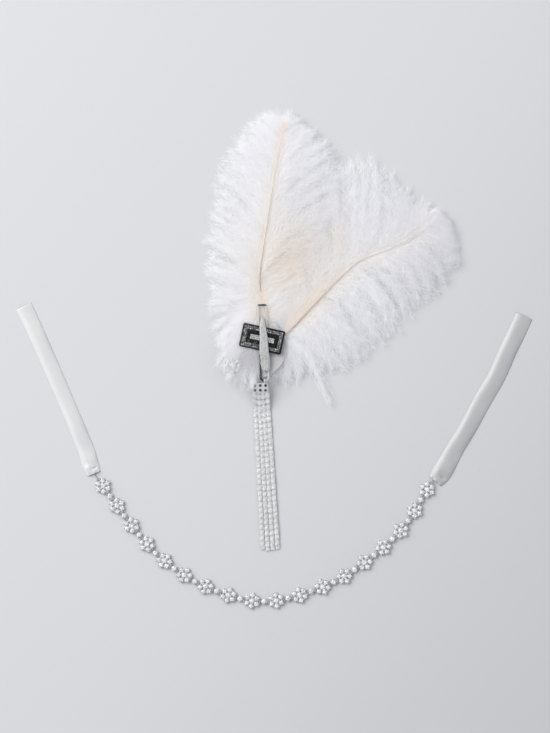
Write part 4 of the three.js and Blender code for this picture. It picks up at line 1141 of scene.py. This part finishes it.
# A bar is a rod laid along y and flattened, with its faces turned round as y and z change
# places. A ring is a circle of wire: the wire's circle carried round the ring's.
rod_shape = turned([(0, -1), (0.3, -1), (0.3, 1), (0, 1)], 5)
bar_shape = (rod_shape[0][:, [0, 2, 1]] * BAR_STRETCH, rod_shape[1][:, ::-1])
ring_turn = np.arange(14) / 14 * 2 * np.pi
wire_turn = np.arange(6) / 6 * 2 * np.pi
ring_radius = 1 + RING_WIRE * np.cos(wire_turn)[None, :]
ring_places = np.stack(
    [
        ring_radius * np.cos(ring_turn)[:, None],
        ring_radius * np.sin(ring_turn)[:, None],
        RING_WIRE * np.sin(wire_turn)[None, :] + 0 * ring_turn[:, None],
    ],
    -1,
)
ring_places = np.concatenate([ring_places, ring_places[:1]]).reshape(-1, 3)
ring_quads = grid_faces(15, 6, closed=True)
ring_shape = (ring_places, np.vstack([ring_quads[:, [0, 1, 2]], ring_quads[:, [0, 2, 3]]]))

cup_sizes = np.interp(chain_places[:, 1], [-150.0, -30.0], [LOW_CUP_SIZE, HIGH_CUP_SIZE])
strand_cups = copies(low_cup, chain_places, cup_sizes, wobble, chain_leans)
bar_places = chain_places - [0, STRAND_PITCH / 2, 0.1]
bars = copies(bar_shape, bar_places, np.full(number, BAR_SIZE), 0 * wobble, chain_leans)
head_x, head_y = np.meshgrid([-4.0, 0.0, 4.0], [-1.9, -5.5])
head_places = np.stack([head_x.ravel() + TASSEL_TOP[0], head_y.ravel() + TASSEL_TOP[1]], 1)
head_places = np.column_stack([head_places, RING_HEIGHT + head_y.ravel() * HEAD_SLOPE])
head_leans = np.tile([0.0, HEAD_SLOPE], (6, 1))
head_rings = copies(ring_shape, head_places, np.full(6, HEAD_RING), np.zeros(6), head_leans)
plate_shape = turned([(0, -0.7), (0.98, -0.7), (1.0, -0.6), (1.0, 0.5), (0.96, 0.6), (0, 0.6)], 24)
# The plate's outline is a circle pushed out into a rounded oblong by a power of x and of y
outline = plate_shape[0][:, :2]
outline = np.sign(outline) * np.abs(outline) ** HEAD_CORNER * HEAD_HALF
plate_places = np.column_stack([outline, plate_shape[0][:, 2] + outline[:, 1] * HEAD_SLOPE])
plate_middle = [TASSEL_TOP[0], TASSEL_TOP[1] - HEAD_HALF[1], HEAD_HEIGHT - HEAD_HALF[1] * HEAD_SLOPE]
head_plate = (plate_places + plate_middle, plate_shape[1])
bail_shape = (ring_shape[0][:, [2, 0, 1]], ring_shape[1])
bail = copies(bail_shape, [BAIL_PLACE], [BAIL_RADIUS], np.zeros(1))
tassel_parts = together(strand_cups, bars, head_rings, head_plate, bail)
soft_silver = plated("soft_silver", (0.62, 0.62, 0.63), (0.72, 0.72, 0.73), 0.1)
tassel_silver = mesh_piece("tassel_silver", *tassel_parts, soft_silver)
# Painted shade: dark discs sit in the head's holes, standing in for the shade seen through them.
hole_shape = turned([(0, -0.2), (0.98, -0.2), (0.98, 0.1), (0, 0.1)], 14)
hole_places = head_places - [0, 0, 0.02]
hole_shade_discs = copies(hole_shape, hole_places, np.full(6, HEAD_HOLE), np.zeros(6), head_leans)
hole_shade_piece = mesh_piece("tassel_head_hole_shade", *hole_shade_discs, dark_finish)
stone_tops = chain_places + [0, 0, 0.1]
tassel_stones = copies(flat_stone, stone_tops, cup_sizes * STONE_SHARE, wobble, chain_leans)
dull_tones = (0.52, 0.52, 0.54), (0.60, 0.61, 0.62), (0.70, 0.70, 0.71)
dull_finish = cut_crystal("dull_crystal", *dull_tones, 0.15)
tassel_crystal = mesh_piece("tassel_crystals", *tassel_stones, dull_finish)
for part, slot in ((tassel_silver, "silver"), (hole_shade_piece, "silver"), (tassel_crystal, "crystal")):
    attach(part, "root")
    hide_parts("crystal_tassel")
